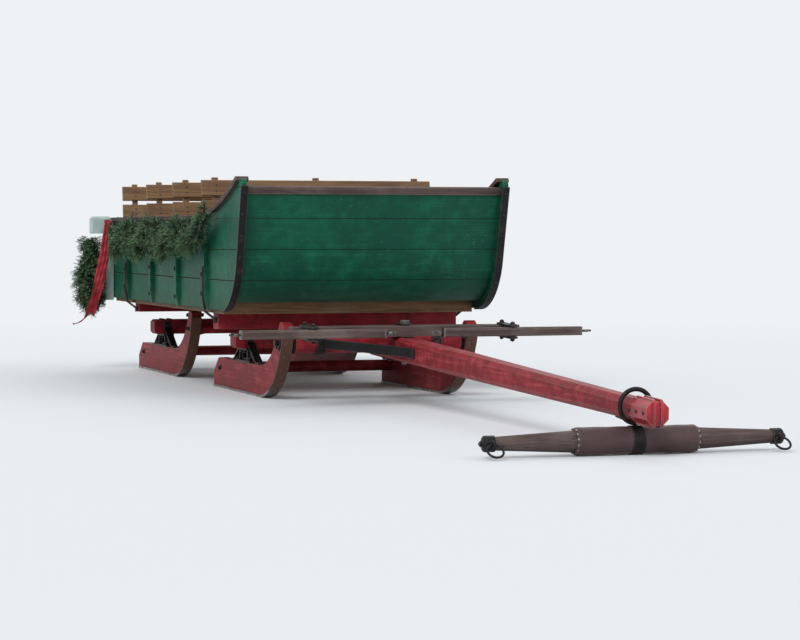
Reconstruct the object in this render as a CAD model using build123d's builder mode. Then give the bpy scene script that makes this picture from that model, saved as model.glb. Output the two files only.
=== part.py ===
from build123d import *
import os
from math import asin, atan, cos, degrees, hypot, radians, sin, sqrt, tan

# A horse drawn passenger sleigh on two bobs, parked with its pole on the ground.
# X is across (minus is the sleigh's own right), minus Y is the way it travels, Z is up.
# The origin is on the ground under the middle of the whole, pole included.

# Where the middle of the box stands behind the middle of the whole
box_middle = 1732

# Small clearances: a close fit that doesn't touch, and a pin's play in its hole
seat_gap = 0.3
pin_play = 0.05

# Box: the driving sizes
box_length = 3100
box_half_width = 670
side_thick = 25
sill_bottom = 420
sill_height = 60
floor_thick = 22
rail_height = 905
side_drop = 40
dash_turn = 75
dash_radius = 300
dash_height = 548
dash_overhang = 300
sweep_length = 550
side_peak = 1120

# Bobs: the driving sizes
king_step = 300
rocker_step = 550
gauge_half = 480
runner_thick = 50
runner_depth = 150
shoe_thick = 12
shoe_width = 58
toe_radius = 480
toe_turn = 74
toe_run = 330
toe_end_depth = 80
heel_run = 640
knee_height = 73
bunk_height = 85
bunk_depth = 110
bunk_overhang = 80

# Pole, evener, singletrees and yoke: the driving sizes
roller_radius = 55
pole_length = 3450
pole_width = 104
pole_height = 110
pole_tip_width = 80
pole_straight = 1300
pole_cut = 20
evener_station = 450
evener_half_length = 575
tree_half_length = 350
tree_reach = 150
tree_side = 500
yoke_setback = 200
yoke_half_length = 600
yoke_radius = 50
yoke_band = 5
ring_radius = 64
ring_wire = 9
ring_play = 0.8

# Places that follow from the sizes above
tail_back = box_middle + box_length / 2
dash_foot = box_middle - box_length / 2 + dash_overhang
sweep_start = dash_foot + sweep_length
king_y = dash_foot + king_step
rocker_y = tail_back - rocker_step
floor_bottom = sill_bottom + sill_height
floor_top = floor_bottom + floor_thick
side_bottom = floor_bottom - side_drop
side_outside = box_half_width + side_thick
runner_top = shoe_thick + runner_depth
bunk_bottom = runner_top + knee_height
bunk_top = bunk_bottom + bunk_height
bunk_half_length = gauge_half + bunk_overhang
toe_centre_z = shoe_thick + toe_radius

os.makedirs("parts", exist_ok=True)

# The dash and the sides' front edges share one bend: an arc, then a leaning line
turn = radians(dash_turn)
bend_z = floor_bottom + dash_radius
lip_radius = dash_radius + side_drop
board_radius = dash_radius - floor_thick


def bend_end(radius):
    """Where the arc of this radius runs into its leaning line, as (y, z)."""
    return (dash_foot - radius * sin(turn), bend_z - radius * cos(turn))


def bend_at(radius, height):
    """The leaning line of this radius at this height, as (y, z)."""
    y, z = bend_end(radius)
    return (y - (height - z) / tan(turn), height)


# Sides: grooved boards whose top edge sweeps up to the dash in one arc
peak_round = 55
peak_blend = 1.2
peak_y = bend_at(lip_radius, side_peak)[0]
sweep_reach = sweep_start - peak_y
sweep_rise = side_peak - rail_height
sweep_radius = (sweep_reach**2 + sweep_rise**2) / (2 * sweep_rise)
sweep_centre = (sweep_start, rail_height + sweep_radius)
sweep_end = asin(sweep_reach / sweep_radius) - peak_blend * peak_round / sweep_radius


def sweep_at(radius, angle):
    """A place on the sweep's arc of this radius, this far round from its level start, as (y, z)."""
    return (sweep_centre[0] - radius * sin(angle), sweep_centre[1] - radius * cos(angle))


groove_depth = 4
groove_count = 2
groove_pitch = (rail_height - side_bottom) / (groove_count + 1)
groove_rows = [side_bottom + groove_pitch * (row + 1) for row in range(groove_count)]
with BuildPart() as side_left:
    with BuildSketch(Plane.YZ.offset(box_half_width)):
        with BuildLine():
            Line((tail_back, side_bottom), (dash_foot, side_bottom))
            CenterArc((dash_foot, bend_z), lip_radius, -90, -dash_turn)
            peak_front = bend_at(lip_radius, side_peak - peak_round)
            Line(bend_end(lip_radius), peak_front)
            TangentArc(
                peak_front, sweep_at(sweep_radius, sweep_end), tangent=(-cos(turn), sin(turn))
            )
            CenterArc(sweep_centre, sweep_radius, -90 - degrees(sweep_end), degrees(sweep_end))
            Polyline(
                (sweep_start, rail_height), (tail_back, rail_height), (tail_back, side_bottom)
            )
        make_face()
    extrude(amount=side_thick)
    for groove_z in groove_rows:
        with BuildSketch(Plane.XZ.offset(-tail_back)):
            with Locations((side_outside, groove_z)):
                Rectangle(sqrt(2) * groove_depth, sqrt(2) * groove_depth, rotation=45)
        extrude(amount=tail_back - peak_y + lip_radius, mode=Mode.SUBTRACT)
side_left.part.label = "side_left"
export_step(side_left.part, "parts/side_left.step")

with BuildPart() as side_right:
    add(side_left.part)
    mirror(about=Plane.YZ, mode=Mode.REPLACE)
side_right.part.label = "side_right"
export_step(side_right.part, "parts/side_right.step")

# Top rails: a rounded cap on each side that follows the sweep
rail_width = 66
rail_thick = 22
rail_edge = 6
rail_inside = box_half_width + (side_thick - rail_width) / 2
rail_outside = rail_inside + rail_width
rail_low = rail_height + seat_gap
rail_high = rail_low + rail_thick
low_radius = sweep_radius - seat_gap
high_radius = low_radius - rail_thick
with BuildPart() as top_rails:
    with BuildSketch(Plane.YZ.offset(rail_inside)):
        with BuildLine():
            Line((tail_back, rail_low), (sweep_start, rail_low))
            CenterArc(sweep_centre, low_radius, -90, -degrees(sweep_end))
            Line(sweep_at(low_radius, sweep_end), sweep_at(high_radius, sweep_end))
            CenterArc(sweep_centre, high_radius, -90 - degrees(sweep_end), degrees(sweep_end))
            Polyline((sweep_start, rail_high), (tail_back, rail_high), (tail_back, rail_low))
        make_face()
    extrude(amount=rail_width)
    rail_ends = top_rails.edges().filter_by(Axis.X)
    fillet(rail_ends.sort_by(Axis.Z)[-1], rail_edge)
    mirror(about=Plane.YZ)
top_rails.part.label = "top_rails"
export_step(top_rails.part, "parts/top_rails.step")

# Side stakes: posts outside the boards, two of them over the bolsters
stake_width = 50
stake_thick = 25
stake_taper = 60
stake_outside = side_outside + stake_thick
stake_count = 4
stake_pitch = (rocker_y - king_y) / (stake_count - 1)
stake_rows = [king_y + stake_pitch * row for row in range(stake_count)]
with BuildPart() as side_stakes:
    for stake_y in stake_rows:
        with BuildSketch(Plane.XZ.offset(-stake_y - stake_width / 2)):
            with BuildLine():
                Polyline(
                    (side_outside, rail_height),
                    (stake_outside, rail_height),
                    (stake_outside, side_bottom + stake_taper),
                    (side_outside + stake_thick / 2, side_bottom),
                    (side_outside, side_bottom),
                    close=True,
                )
            make_face()
        extrude(amount=stake_width)
    mirror(about=Plane.YZ)
side_stakes.part.label = "side_stakes"
export_step(side_stakes.part, "parts/side_stakes.step")

# Rear corner posts, each with a square head
post_width = 70
post_thick = 50
head_width = 112
head_height = 104
head_bevel = 12
head_sink = 75
head_overhang = 10
post_drop = 15
head_bottom = rail_height - head_sink
post_bottom = side_bottom - post_drop
post_y = tail_back - post_width / 2
with BuildPart() as corner_posts:
    with Locations((side_outside + post_thick / 2, post_y, (post_bottom + head_bottom) / 2)):
        Box(post_thick, post_width, head_bottom - post_bottom)
    head_x = rail_outside + seat_gap + head_width / 2
    head_y = tail_back + head_overhang - head_width / 2
    with Locations((head_x, head_y, head_bottom + head_height / 2)):
        Box(head_width, head_width, head_height)
    chamfer(corner_posts.faces().sort_by(Axis.Z)[-1].edges(), head_bevel)
    mirror(about=Plane.YZ)
corner_posts.part.label = "corner_posts"
export_step(corner_posts.part, "parts/corner_posts.step")

# Floor: boards that run lengthwise between the sides
board_count = 8
board_gap = 4
board_width = (2 * box_half_width - board_gap * (board_count - 1)) / board_count
tail_thick = 25
floor_back = tail_back - tail_thick
with BuildPart() as floor_boards:
    for board in range(board_count):
        board_x = -box_half_width + board_width / 2 + board * (board_width + board_gap)
        with Locations((board_x, (floor_back + dash_foot) / 2, floor_bottom + floor_thick / 2)):
            Box(board_width, floor_back - dash_foot, floor_thick)
floor_boards.part.label = "floor_boards"
export_step(floor_boards.part, "parts/floor_boards.step")

# Floor sills: three long ones, tied by cross pieces near the dash, halfway and at the tail
sill_width = 60
sill_setback = 50
sill_front = dash_foot + sill_setback
sill_z = (sill_bottom + floor_bottom) / 2
frame_rows = (sill_front, (sill_front + floor_back - sill_width) / 2, floor_back - sill_width)
with BuildPart() as floor_sills:
    for sill_x in (-box_half_width + sill_width / 2, 0, box_half_width - sill_width / 2):
        with Locations((sill_x, (sill_front + floor_back) / 2, sill_z)):
            Box(sill_width, floor_back - sill_front, sill_height)
    for frame_y in frame_rows:
        with Locations((0, frame_y + sill_width / 2, sill_z)):
            Box(2 * box_half_width, sill_width, sill_height)
floor_sills.part.label = "floor_sills"
export_step(floor_sills.part, "parts/floor_sills.step")

# Dash: the bent board between the sides
dash_top = floor_bottom + dash_height
outer_top = bend_at(dash_radius, dash_top)
inner_top = (
    outer_top[0] + floor_thick * sin(turn),
    outer_top[1] + floor_thick * cos(turn),
)
with BuildPart() as dash_panel:
    with BuildSketch(Plane.YZ.offset(-box_half_width)):
        with BuildLine():
            CenterArc((dash_foot, bend_z), dash_radius, -90, -dash_turn)
            Polyline(bend_end(dash_radius), outer_top, inner_top, bend_end(board_radius))
            CenterArc((dash_foot, bend_z), board_radius, -90 - dash_turn, dash_turn)
            Line((dash_foot, floor_top), (dash_foot, floor_bottom))
        make_face()
    extrude(amount=2 * box_half_width)
dash_panel.part.label = "dash_panel"
export_step(dash_panel.part, "parts/dash_panel.step")

# Dash rail: a rounded wooden cap on the upper edge of the dash
cap_width = 46
cap_height = 34
cap_round = 15
dash_edge = Plane(
    origin=(0, (outer_top[0] + inner_top[0]) / 2, (outer_top[1] + inner_top[1]) / 2),
    x_dir=(0, sin(turn), cos(turn)),
    z_dir=(1, 0, 0),
)
with BuildPart() as dash_rail:
    with BuildSketch(dash_edge.offset(-box_half_width)) as cap_shape:
        with Locations((0, cap_height / 2)):
            Rectangle(cap_width, cap_height)
        fillet(cap_shape.vertices().group_by(Axis.Y)[-1], cap_round)
    extrude(amount=2 * box_half_width)
dash_rail.part.label = "dash_rail"
export_step(dash_rail.part, "parts/dash_rail.step")

# Dash irons: a strap bent round the front edge of each side
iron_thick = 6
iron_width = 38
iron_inner = lip_radius + seat_gap
iron_outer = iron_inner + iron_thick
iron_top = side_peak - peak_round
with BuildPart() as dash_irons:
    with BuildSketch(Plane.YZ.offset(box_half_width + (side_thick - iron_width) / 2)):
        with BuildLine():
            CenterArc((dash_foot, bend_z), iron_inner, -90, -dash_turn)
            Polyline(
                bend_end(iron_inner),
                bend_at(iron_inner, iron_top),
                bend_at(iron_outer, iron_top),
                bend_end(iron_outer),
            )
            CenterArc((dash_foot, bend_z), iron_outer, -90 - dash_turn, dash_turn)
            Line((dash_foot, bend_z - iron_outer), (dash_foot, bend_z - iron_inner))
        make_face()
    extrude(amount=iron_width)
    mirror(about=Plane.YZ)
dash_irons.part.label = "dash_irons"
export_step(dash_irons.part, "parts/dash_irons.step")

# Foot rest: a sloping board inside the dash for the driver's boots
rest_foot = 80
rest_foot_rise = 58
rest_run = 140
rest_rise = 140
rest_thick = 24
rest_low = (dash_foot - rest_foot, floor_top + rest_foot_rise)
rest_high = (rest_low[0] - rest_run, rest_low[1] + rest_rise)
rest_length = hypot(rest_high[0] - rest_low[0], rest_high[1] - rest_low[1])
rest_plane = Plane(
    origin=(0, rest_low[0], rest_low[1]),
    x_dir=(0, rest_high[0] - rest_low[0], rest_high[1] - rest_low[1]),
    z_dir=(1, 0, 0),
)
with BuildPart() as foot_rest:
    with BuildSketch(rest_plane.offset(-box_half_width)):
        with Locations((rest_length / 2, 0)):
            Rectangle(rest_length, rest_thick)
    extrude(amount=2 * box_half_width)
foot_rest.part.label = "foot_rest"
export_step(foot_rest.part, "parts/foot_rest.step")

# Tail board: grooved boards between the sides, with a gently arched top
tail_rise = 80
tail_arch_half = rail_inside - rail_edge
with BuildPart() as tail_board:
    with BuildSketch(Plane.XZ.offset(-tail_back)):
        with BuildLine():
            Polyline(
                (-tail_arch_half, rail_height),
                (-box_half_width, rail_height),
                (-box_half_width, side_bottom),
                (box_half_width, side_bottom),
                (box_half_width, rail_height),
                (tail_arch_half, rail_height),
            )
            ThreePointArc(
                (tail_arch_half, rail_height),
                (0, rail_height + tail_rise),
                (-tail_arch_half, rail_height),
            )
        make_face()
    extrude(amount=tail_thick)
    for groove_z in groove_rows:
        with BuildSketch(Plane.YZ.offset(-box_half_width)):
            with Locations((tail_back, groove_z)):
                Rectangle(sqrt(2) * groove_depth, sqrt(2) * groove_depth, rotation=45)
        extrude(amount=2 * box_half_width, mode=Mode.SUBTRACT)
tail_board.part.label = "tail_board"
export_step(tail_board.part, "parts/tail_board.step")

# Benches: the driver's in front and three for passengers, each of two planks on risers
bench_count = 4
bench_first = 470
bench_last = 270
bench_depth = 350
bench_sink = 25
bench_thick = 28
bench_play = 30
plank_gap = 6
plank_round = 8
riser_thick = 28
riser_inset = 20
riser_arch = 90
riser_step = 80
bench_half_length = box_half_width - bench_play
bench_top = rail_height - bench_sink
bench_bottom = bench_top - bench_thick
plank_depth = (bench_depth - plank_gap) / 2
bench_pitch = (tail_back - bench_last - dash_foot - bench_first) / (bench_count - 1)
bench_rows = [dash_foot + bench_first + bench_pitch * row for row in range(bench_count)]
riser_rows = (riser_step - bench_half_length, 0, bench_half_length - riser_step)
with BuildPart() as bench_planks:
    for bench_y in bench_rows:
        for plank_y in (
            bench_y - plank_gap / 2 - plank_depth / 2,
            bench_y + plank_gap / 2 + plank_depth / 2,
        ):
            with Locations((0, plank_y, bench_bottom + bench_thick / 2)):
                Box(2 * bench_half_length, plank_depth, bench_thick)
    plank_edges = bench_planks.edges().filter_by(Axis.X).group_by(Axis.Z)[-1].sort_by(Axis.Y)
    fillet(plank_edges[::4], plank_round)
bench_planks.part.label = "bench_planks"
export_step(bench_planks.part, "parts/bench_planks.step")

with BuildPart() as bench_risers:
    for riser_x in riser_rows:
        with BuildSketch(Plane.YZ.offset(riser_x - riser_thick / 2)):
            with Locations([(bench_y, (floor_top + bench_bottom) / 2) for bench_y in bench_rows]):
                Rectangle(bench_depth - 2 * riser_inset, bench_bottom - floor_top)
            with Locations([(bench_y, floor_top) for bench_y in bench_rows]):
                Circle(riser_arch, mode=Mode.SUBTRACT)
        extrude(amount=riser_thick)
bench_risers.part.label = "bench_risers"
export_step(bench_risers.part, "parts/bench_risers.step")

# Bench backs: posts sawn with a leaning upper half, and two slats across them
back_thick = 26
back_width = 30
back_lean = radians(7)
back_rise = 250
back_run = back_rise * tan(back_lean)
with BuildPart() as back_posts:
    for riser_x in riser_rows:
        for bench_y in bench_rows:
            front_y = bench_y + bench_depth / 2
            with BuildSketch(Plane.YZ.offset(riser_x - back_width / 2)):
                with BuildLine():
                    Polyline(
                        (front_y, floor_top),
                        (front_y + back_thick, floor_top),
                        (front_y + back_thick, bench_top),
                        (front_y + back_thick + back_run, bench_top + back_rise),
                        (front_y + back_run, bench_top + back_rise),
                        (front_y, bench_top),
                        close=True,
                    )
                make_face()
            extrude(amount=back_width)
back_posts.part.label = "back_posts"
export_step(back_posts.part, "parts/back_posts.step")

slat_thick = 18
slat_width = 86
slat_round = 7
slat_low = 40
slat_pitch = 110
slat_rows = (slat_low, slat_low + slat_pitch)
with BuildPart() as back_slats:
    for bench_y in bench_rows:
        slat_plane = Plane(
            origin=(0, bench_y + bench_depth / 2, bench_top),
            x_dir=(0, sin(back_lean), cos(back_lean)),
            z_dir=(1, 0, 0),
        )
        with BuildSketch(slat_plane.offset(-bench_half_length)) as slat_shape:
            with Locations([(low + slat_width / 2, slat_thick / 2) for low in slat_rows]):
                Rectangle(slat_width, slat_thick)
            fillet(slat_shape.vertices().group_by(Axis.Y)[-1], slat_round)
        extrude(amount=2 * bench_half_length)
back_slats.part.label = "back_slats"
export_step(back_slats.part, "parts/back_slats.step")

# Turning gear between the front bob and the box: bolster, plate and king pin
plate_radius = 110
plate_thick = 8
king_radius = 16
nut_radius = 26
nut_height = 20
nut_gap = 2
nut_tail = 4
bolster_setback = 20
bolster_half_length = box_half_width - bolster_setback
plate_top = bunk_top + 2 * plate_thick
with BuildPart() as front_bolster:
    with Locations((0, king_y, (plate_top + sill_bottom) / 2)):
        Box(2 * bolster_half_length, bunk_depth, sill_bottom - plate_top)
        Cylinder(king_radius + pin_play, sill_bottom - plate_top, mode=Mode.SUBTRACT)
front_bolster.part.label = "front_bolster"
export_step(front_bolster.part, "parts/front_bolster.step")

plate_rows = (("bunk_plate", bunk_top), ("bolster_plate", bunk_top + plate_thick))
for plate_name, plate_z in plate_rows:
    with BuildPart() as plate:
        with BuildSketch(Plane.XY.offset(plate_z)):
            with Locations((0, king_y)):
                Circle(plate_radius)
                Circle(king_radius + pin_play, mode=Mode.SUBTRACT)
        extrude(amount=plate_thick)
    plate.part.label = plate_name
    export_step(plate.part, "parts/" + plate_name + ".step")

nut_bottom = bunk_bottom - nut_gap - nut_height
with BuildPart() as king_pin:
    with BuildSketch(Plane.XY.offset(nut_bottom - nut_tail)):
        with Locations((0, king_y)):
            Circle(king_radius)
    extrude(amount=sill_bottom - nut_bottom + nut_tail)
    with BuildSketch(Plane.XY.offset(nut_bottom)):
        with Locations((0, king_y)):
            RegularPolygon(nut_radius, 6)
    extrude(amount=nut_height)
king_pin.part.label = "king_pin"
export_step(king_pin.part, "parts/king_pin.step")

# Rocking gear between the rear bob and the box: ears on both, on short cross pins
rock_gap = 24
rock_clear = 5
rocker_radius = 11
ear_thick = 20
ear_side = 300
ear_pitch = ear_thick + 6
pin_tail = 16
rock_z = bunk_top + rock_gap
ear_radius = rock_gap - rock_clear
rear_bolster_bottom = rock_z + rock_gap
with BuildPart() as rear_bolster:
    with Locations((0, rocker_y, (rear_bolster_bottom + sill_bottom) / 2)):
        Box(2 * bolster_half_length, bunk_depth, sill_bottom - rear_bolster_bottom)
rear_bolster.part.label = "rear_bolster"
export_step(rear_bolster.part, "parts/rear_bolster.step")

ear_rows = (
    ("rocker_hangers", (-ear_pitch, ear_pitch), rock_gap / 2),
    ("rear_ears", (0,), -rock_gap / 2),
)
for ear_name, ear_steps, ear_rise in ear_rows:
    with BuildPart() as ears:
        for ear_step in ear_steps:
            for side_x in (-ear_side, ear_side):
                with BuildSketch(Plane.YZ.offset(side_x + ear_step - ear_thick / 2)):
                    with Locations((rocker_y, rock_z)):
                        Circle(ear_radius)
                    with Locations((rocker_y, rock_z + ear_rise)):
                        Rectangle(2 * ear_radius, rock_gap)
                    with Locations((rocker_y, rock_z)):
                        Circle(rocker_radius + pin_play, mode=Mode.SUBTRACT)
                extrude(amount=ear_thick)
    ears.part.label = ear_name
    export_step(ears.part, "parts/" + ear_name + ".step")

rocker_half = ear_pitch + ear_thick / 2 + pin_tail
with BuildPart() as rocker_pins:
    for side_x in (-ear_side, ear_side):
        with BuildSketch(Plane.YZ.offset(side_x - rocker_half)):
            with Locations((rocker_y, rock_z)):
                Circle(rocker_radius)
        extrude(amount=2 * rocker_half)
rocker_pins.part.label = "rocker_pins"
export_step(rocker_pins.part, "parts/rocker_pins.step")

# Box irons: straps from the bolsters' ends out under the sides and up the stakes over them
strap_thick = 8
strap_width = 44
strap_bend = 16
strap_foot = 2
strap_knee = 18
strap_drop = 8
strap_lean = 10
strap_grip = 50
strap_rise = 220
strap_low_x = bolster_half_length + strap_thick / 2
strap_high_x = stake_outside + strap_thick / 2
with BuildPart() as box_irons:
    for iron_y in (king_y, rocker_y):
        with BuildSketch(Plane.XZ.offset(-iron_y - strap_width / 2)):
            with BuildLine():
                FilletPolyline(
                    (strap_low_x, rear_bolster_bottom + strap_foot),
                    (strap_low_x, rear_bolster_bottom + strap_knee),
                    (strap_high_x - strap_lean, side_bottom - strap_drop),
                    (strap_high_x, side_bottom + strap_grip),
                    (strap_high_x, side_bottom + strap_rise),
                    radius=strap_bend,
                )
            trace(line_width=strap_thick)
        extrude(amount=strap_width)
    mirror(about=Plane.YZ)
box_irons.part.label = "box_irons"
export_step(box_irons.part, "parts/box_irons.step")

# Both bobs: runners with steel shoes, knees, a bunk, braces and cross bars
toe = radians(toe_turn)
toe_width_end = toe_radius - toe_end_depth
nose_bulge = 22
heel_slope = 110
heel_height = 70
pin_turn = radians(62)
pin_depth = 52
pin_run = toe_run + (toe_radius - pin_depth) * sin(pin_turn)
roller_y = king_y - pin_run
roller_z = toe_centre_z - (toe_radius - pin_depth) * cos(pin_turn)
gudgeon_radius = 13
knee_half = 150
knee_top_half = 88
knee_flange = 9
knee_flange_width = 64
knee_web = 20
knee_slot = 34
knee_slot_end = 20
knee_rib_step = 8
bunk_bevel = 14
brace_width = 40
brace_thick = 8
brace_reach = 290
brace_foot = 60
brace_bend = 12
brace_head = 10
brace_grip = 45
bar_radius = 30
bar_setback = 150
bar_height = 95
tie_side = 240
tie_rise = 3
tie_bottom = bunk_bottom + tie_rise
tie_height = 28
tie_foot = 60
tie_reach = 75
tie_bend = 30
inside = gauge_half - runner_thick / 2
bob_rows = (("front", king_y), ("rear", rocker_y))
for bob_name, bob_y in bob_rows:
    toe_y = bob_y - toe_run
    heel_y = bob_y + heel_run
    bob_pin_y = bob_y - pin_run
    nose_low = (toe_y - toe_radius * sin(toe), toe_centre_z - toe_radius * cos(toe))
    nose_high = (toe_y - toe_width_end * sin(toe), toe_centre_z - toe_width_end * cos(toe))
    nose_tip = (
        (nose_low[0] + nose_high[0]) / 2 - nose_bulge * cos(toe),
        (nose_low[1] + nose_high[1]) / 2 + nose_bulge * sin(toe),
    )
    with BuildPart() as runners:
        with BuildSketch(Plane.YZ.offset(inside)):
            with BuildLine():
                Line((heel_y, shoe_thick), (toe_y, shoe_thick))
                CenterArc((toe_y, toe_centre_z), toe_radius, -90, -toe_turn)
                ThreePointArc(nose_low, nose_tip, nose_high)
                TangentArc((toe_y, runner_top), nose_high, tangent=(-1, 0))
                Polyline(
                    (toe_y, runner_top),
                    (heel_y - heel_slope, runner_top),
                    (heel_y, shoe_thick + heel_height),
                    (heel_y, shoe_thick),
                )
            make_face()
            if bob_name == "front":
                with Locations((bob_pin_y, roller_z)):
                    Circle(gudgeon_radius + pin_play, mode=Mode.SUBTRACT)
        extrude(amount=runner_thick)
        mirror(about=Plane.YZ)
    runners.part.label = bob_name + "_runners"
    export_step(runners.part, "parts/" + bob_name + "_runners.step")

    shoe_outer = toe_radius + shoe_thick
    shoe_inner = toe_radius + seat_gap
    with BuildPart() as shoes:
        with BuildSketch(Plane.YZ.offset(gauge_half - shoe_width / 2)):
            with BuildLine():
                Line((heel_y, 0), (toe_y, 0))
                CenterArc((toe_y, toe_centre_z), shoe_outer, -90, -toe_turn)
                Line(
                    (toe_y - shoe_outer * sin(toe), toe_centre_z - shoe_outer * cos(toe)),
                    (toe_y - shoe_inner * sin(toe), toe_centre_z - shoe_inner * cos(toe)),
                )
                CenterArc((toe_y, toe_centre_z), shoe_inner, -90 - toe_turn, toe_turn)
                Polyline(
                    (toe_y, shoe_thick - seat_gap), (heel_y, shoe_thick - seat_gap), (heel_y, 0)
                )
            make_face()
        extrude(amount=shoe_width)
        mirror(about=Plane.YZ)
    shoes.part.label = bob_name + "_shoes"
    export_step(shoes.part, "parts/" + bob_name + "_shoes.step")

    with BuildPart() as knees:
        with BuildSketch(Plane.YZ.offset(gauge_half - knee_web / 2)):
            with BuildLine():
                Polyline(
                    (bob_y - knee_half, runner_top),
                    (bob_y + knee_half, runner_top),
                    (bob_y + knee_half, runner_top + knee_flange),
                    (bob_y + knee_top_half, bunk_bottom - knee_flange),
                    (bob_y + knee_top_half, bunk_bottom),
                    (bob_y - knee_top_half, bunk_bottom),
                    (bob_y - knee_top_half, bunk_bottom - knee_flange),
                    (bob_y - knee_half, runner_top + knee_flange),
                    close=True,
                )
            make_face()
            with Locations((bob_y, (runner_top + bunk_bottom) / 2)):
                SlotOverall(
                    2 * (knee_top_half - knee_slot_end), knee_slot, mode=Mode.SUBTRACT
                )
        extrude(amount=knee_web)
        for flange_z, flange_half in (
            (runner_top + knee_flange / 2, knee_half),
            (bunk_bottom - knee_flange / 2, knee_top_half),
        ):
            with Locations((gauge_half, bob_y, flange_z)):
                Box(knee_flange_width, 2 * flange_half, knee_flange)
        for rib_y in (bob_y - knee_top_half + knee_flange, bob_y + knee_top_half - knee_flange):
            with Locations((gauge_half, rib_y, (runner_top + bunk_bottom) / 2)):
                Box(knee_flange_width - 2 * knee_rib_step, knee_flange, knee_height)
        mirror(about=Plane.YZ)
    knees.part.label = bob_name + "_knees"
    export_step(knees.part, "parts/" + bob_name + "_knees.step")

    with BuildPart() as bunk:
        with Locations((0, bob_y, (bunk_bottom + bunk_top) / 2)):
            Box(2 * bunk_half_length, bunk_depth, bunk_height)
        chamfer(bunk.edges().filter_by(Axis.Y), bunk_bevel)
        if bob_name == "front":
            with Locations((0, bob_y, bunk_top)):
                Hole(king_radius + pin_play)
    bunk.part.label = bob_name + "_bunk"
    export_step(bunk.part, "parts/" + bob_name + "_bunk.step")

    with BuildPart() as braces:
        for way in (-1, 1):
            face_y = bob_y + way * (bunk_depth + brace_thick) / 2
            foot_y = bob_y + way * brace_reach
            with BuildSketch(Plane.YZ.offset(gauge_half - brace_width / 2)):
                with BuildLine():
                    FilletPolyline(
                        (face_y, bunk_top - brace_head),
                        (face_y, bunk_top - brace_head - brace_grip),
                        (foot_y - way * brace_foot, runner_top + brace_thick / 2),
                        (foot_y, runner_top + brace_thick / 2),
                        radius=brace_bend,
                    )
                trace(line_width=brace_thick)
            extrude(amount=brace_width)
        with BuildSketch(Plane.XY.offset(tie_bottom)):
            with BuildLine():
                FilletPolyline(
                    (tie_side - tie_foot, bob_y - (bunk_depth + brace_thick) / 2),
                    (tie_side, bob_y - (bunk_depth + brace_thick) / 2),
                    (inside - brace_thick / 2, bob_pin_y + tie_reach + tie_foot),
                    (inside - brace_thick / 2, bob_pin_y + tie_reach),
                    radius=tie_bend,
                )
            trace(line_width=brace_thick)
        extrude(amount=tie_height)
        mirror(about=Plane.YZ)
    braces.part.label = bob_name + "_braces"
    export_step(braces.part, "parts/" + bob_name + "_braces.step")

    bar_rows = [(heel_y - bar_setback, shoe_thick + bar_height)]
    if bob_name == "rear":
        bar_rows.append((bob_pin_y, roller_z))
    with BuildPart() as bars:
        with BuildSketch(Plane.YZ.offset(-inside)):
            with Locations(bar_rows):
                Circle(bar_radius)
        extrude(amount=2 * inside)
    bars.part.label = bob_name + "_cross_bars"
    export_step(bars.part, "parts/" + bob_name + "_cross_bars.step")

# Eye plates on both faces of each front nose, round the gudgeons
eye_radius = 40
eye_thick = 6
with BuildPart() as eye_plates:
    for eye_x in (inside - eye_thick, inside + runner_thick):
        with BuildSketch(Plane.YZ.offset(eye_x)):
            with Locations((roller_y, roller_z)):
                Circle(eye_radius)
                Circle(gudgeon_radius + pin_play, mode=Mode.SUBTRACT)
        extrude(amount=eye_thick)
    mirror(about=Plane.YZ)
eye_plates.part.label = "eye_plates"
export_step(eye_plates.part, "parts/eye_plates.step")

# The pole lies on the ground through its yoke, so its slope follows from the heights of both
yoke_station = pole_length - yoke_setback
yoke_z = yoke_radius + yoke_band


def pole_share(station):
    """How far along the tapered part of the pole this station is, from 0 to 1."""
    return max(0, (station - pole_straight) / (pole_length - pole_straight))


def pole_section(station):
    """The pole's width and height at this station."""
    share = pole_share(station)
    return (
        pole_width + (pole_tip_width - pole_width) * share,
        pole_height + (pole_tip_width - pole_height) * share,
    )


yoke_pole_width, yoke_pole_height = pole_section(yoke_station)
ring_inner = ring_radius - ring_wire - ring_play
ring_lift = sqrt(ring_inner**2 - (yoke_pole_width / 2 - pole_cut) ** 2) - yoke_pole_height / 2
yoke_drop = yoke_z + ring_wire + ring_radius - ring_lift
yoke_reach = hypot(yoke_station, yoke_drop)
pole_slope = asin((roller_z - yoke_z) / yoke_reach) - atan(yoke_drop / yoke_station)
pole_forward = (0, -cos(pole_slope), -sin(pole_slope))
pole_up = (0, -sin(pole_slope), cos(pole_slope))
pole_heel = (0, roller_y, roller_z)
# Sketches across the pole have x across the sleigh and y upwards
pole_across = Plane(origin=pole_heel, x_dir=(1, 0, 0), z_dir=pole_forward)
# Sketches on the pole's side have x along the pole and y upwards
pole_side = Plane(origin=pole_heel, x_dir=pole_forward, z_dir=(-1, 0, 0))
# Sketches on the pole's back have x along the pole and y towards plus X
pole_back = Plane(origin=pole_heel, x_dir=pole_forward, z_dir=pole_up)


def squared_timber(width, height, cut):
    """The outline of a squared timber with its corners cut off."""
    w = width / 2
    h = height / 2
    return [
        (w - cut, -h),
        (w, -h + cut),
        (w, h - cut),
        (w - cut, h),
        (-w + cut, h),
        (-w, h - cut),
        (-w, -h + cut),
        (-w + cut, -h),
    ]


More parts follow.
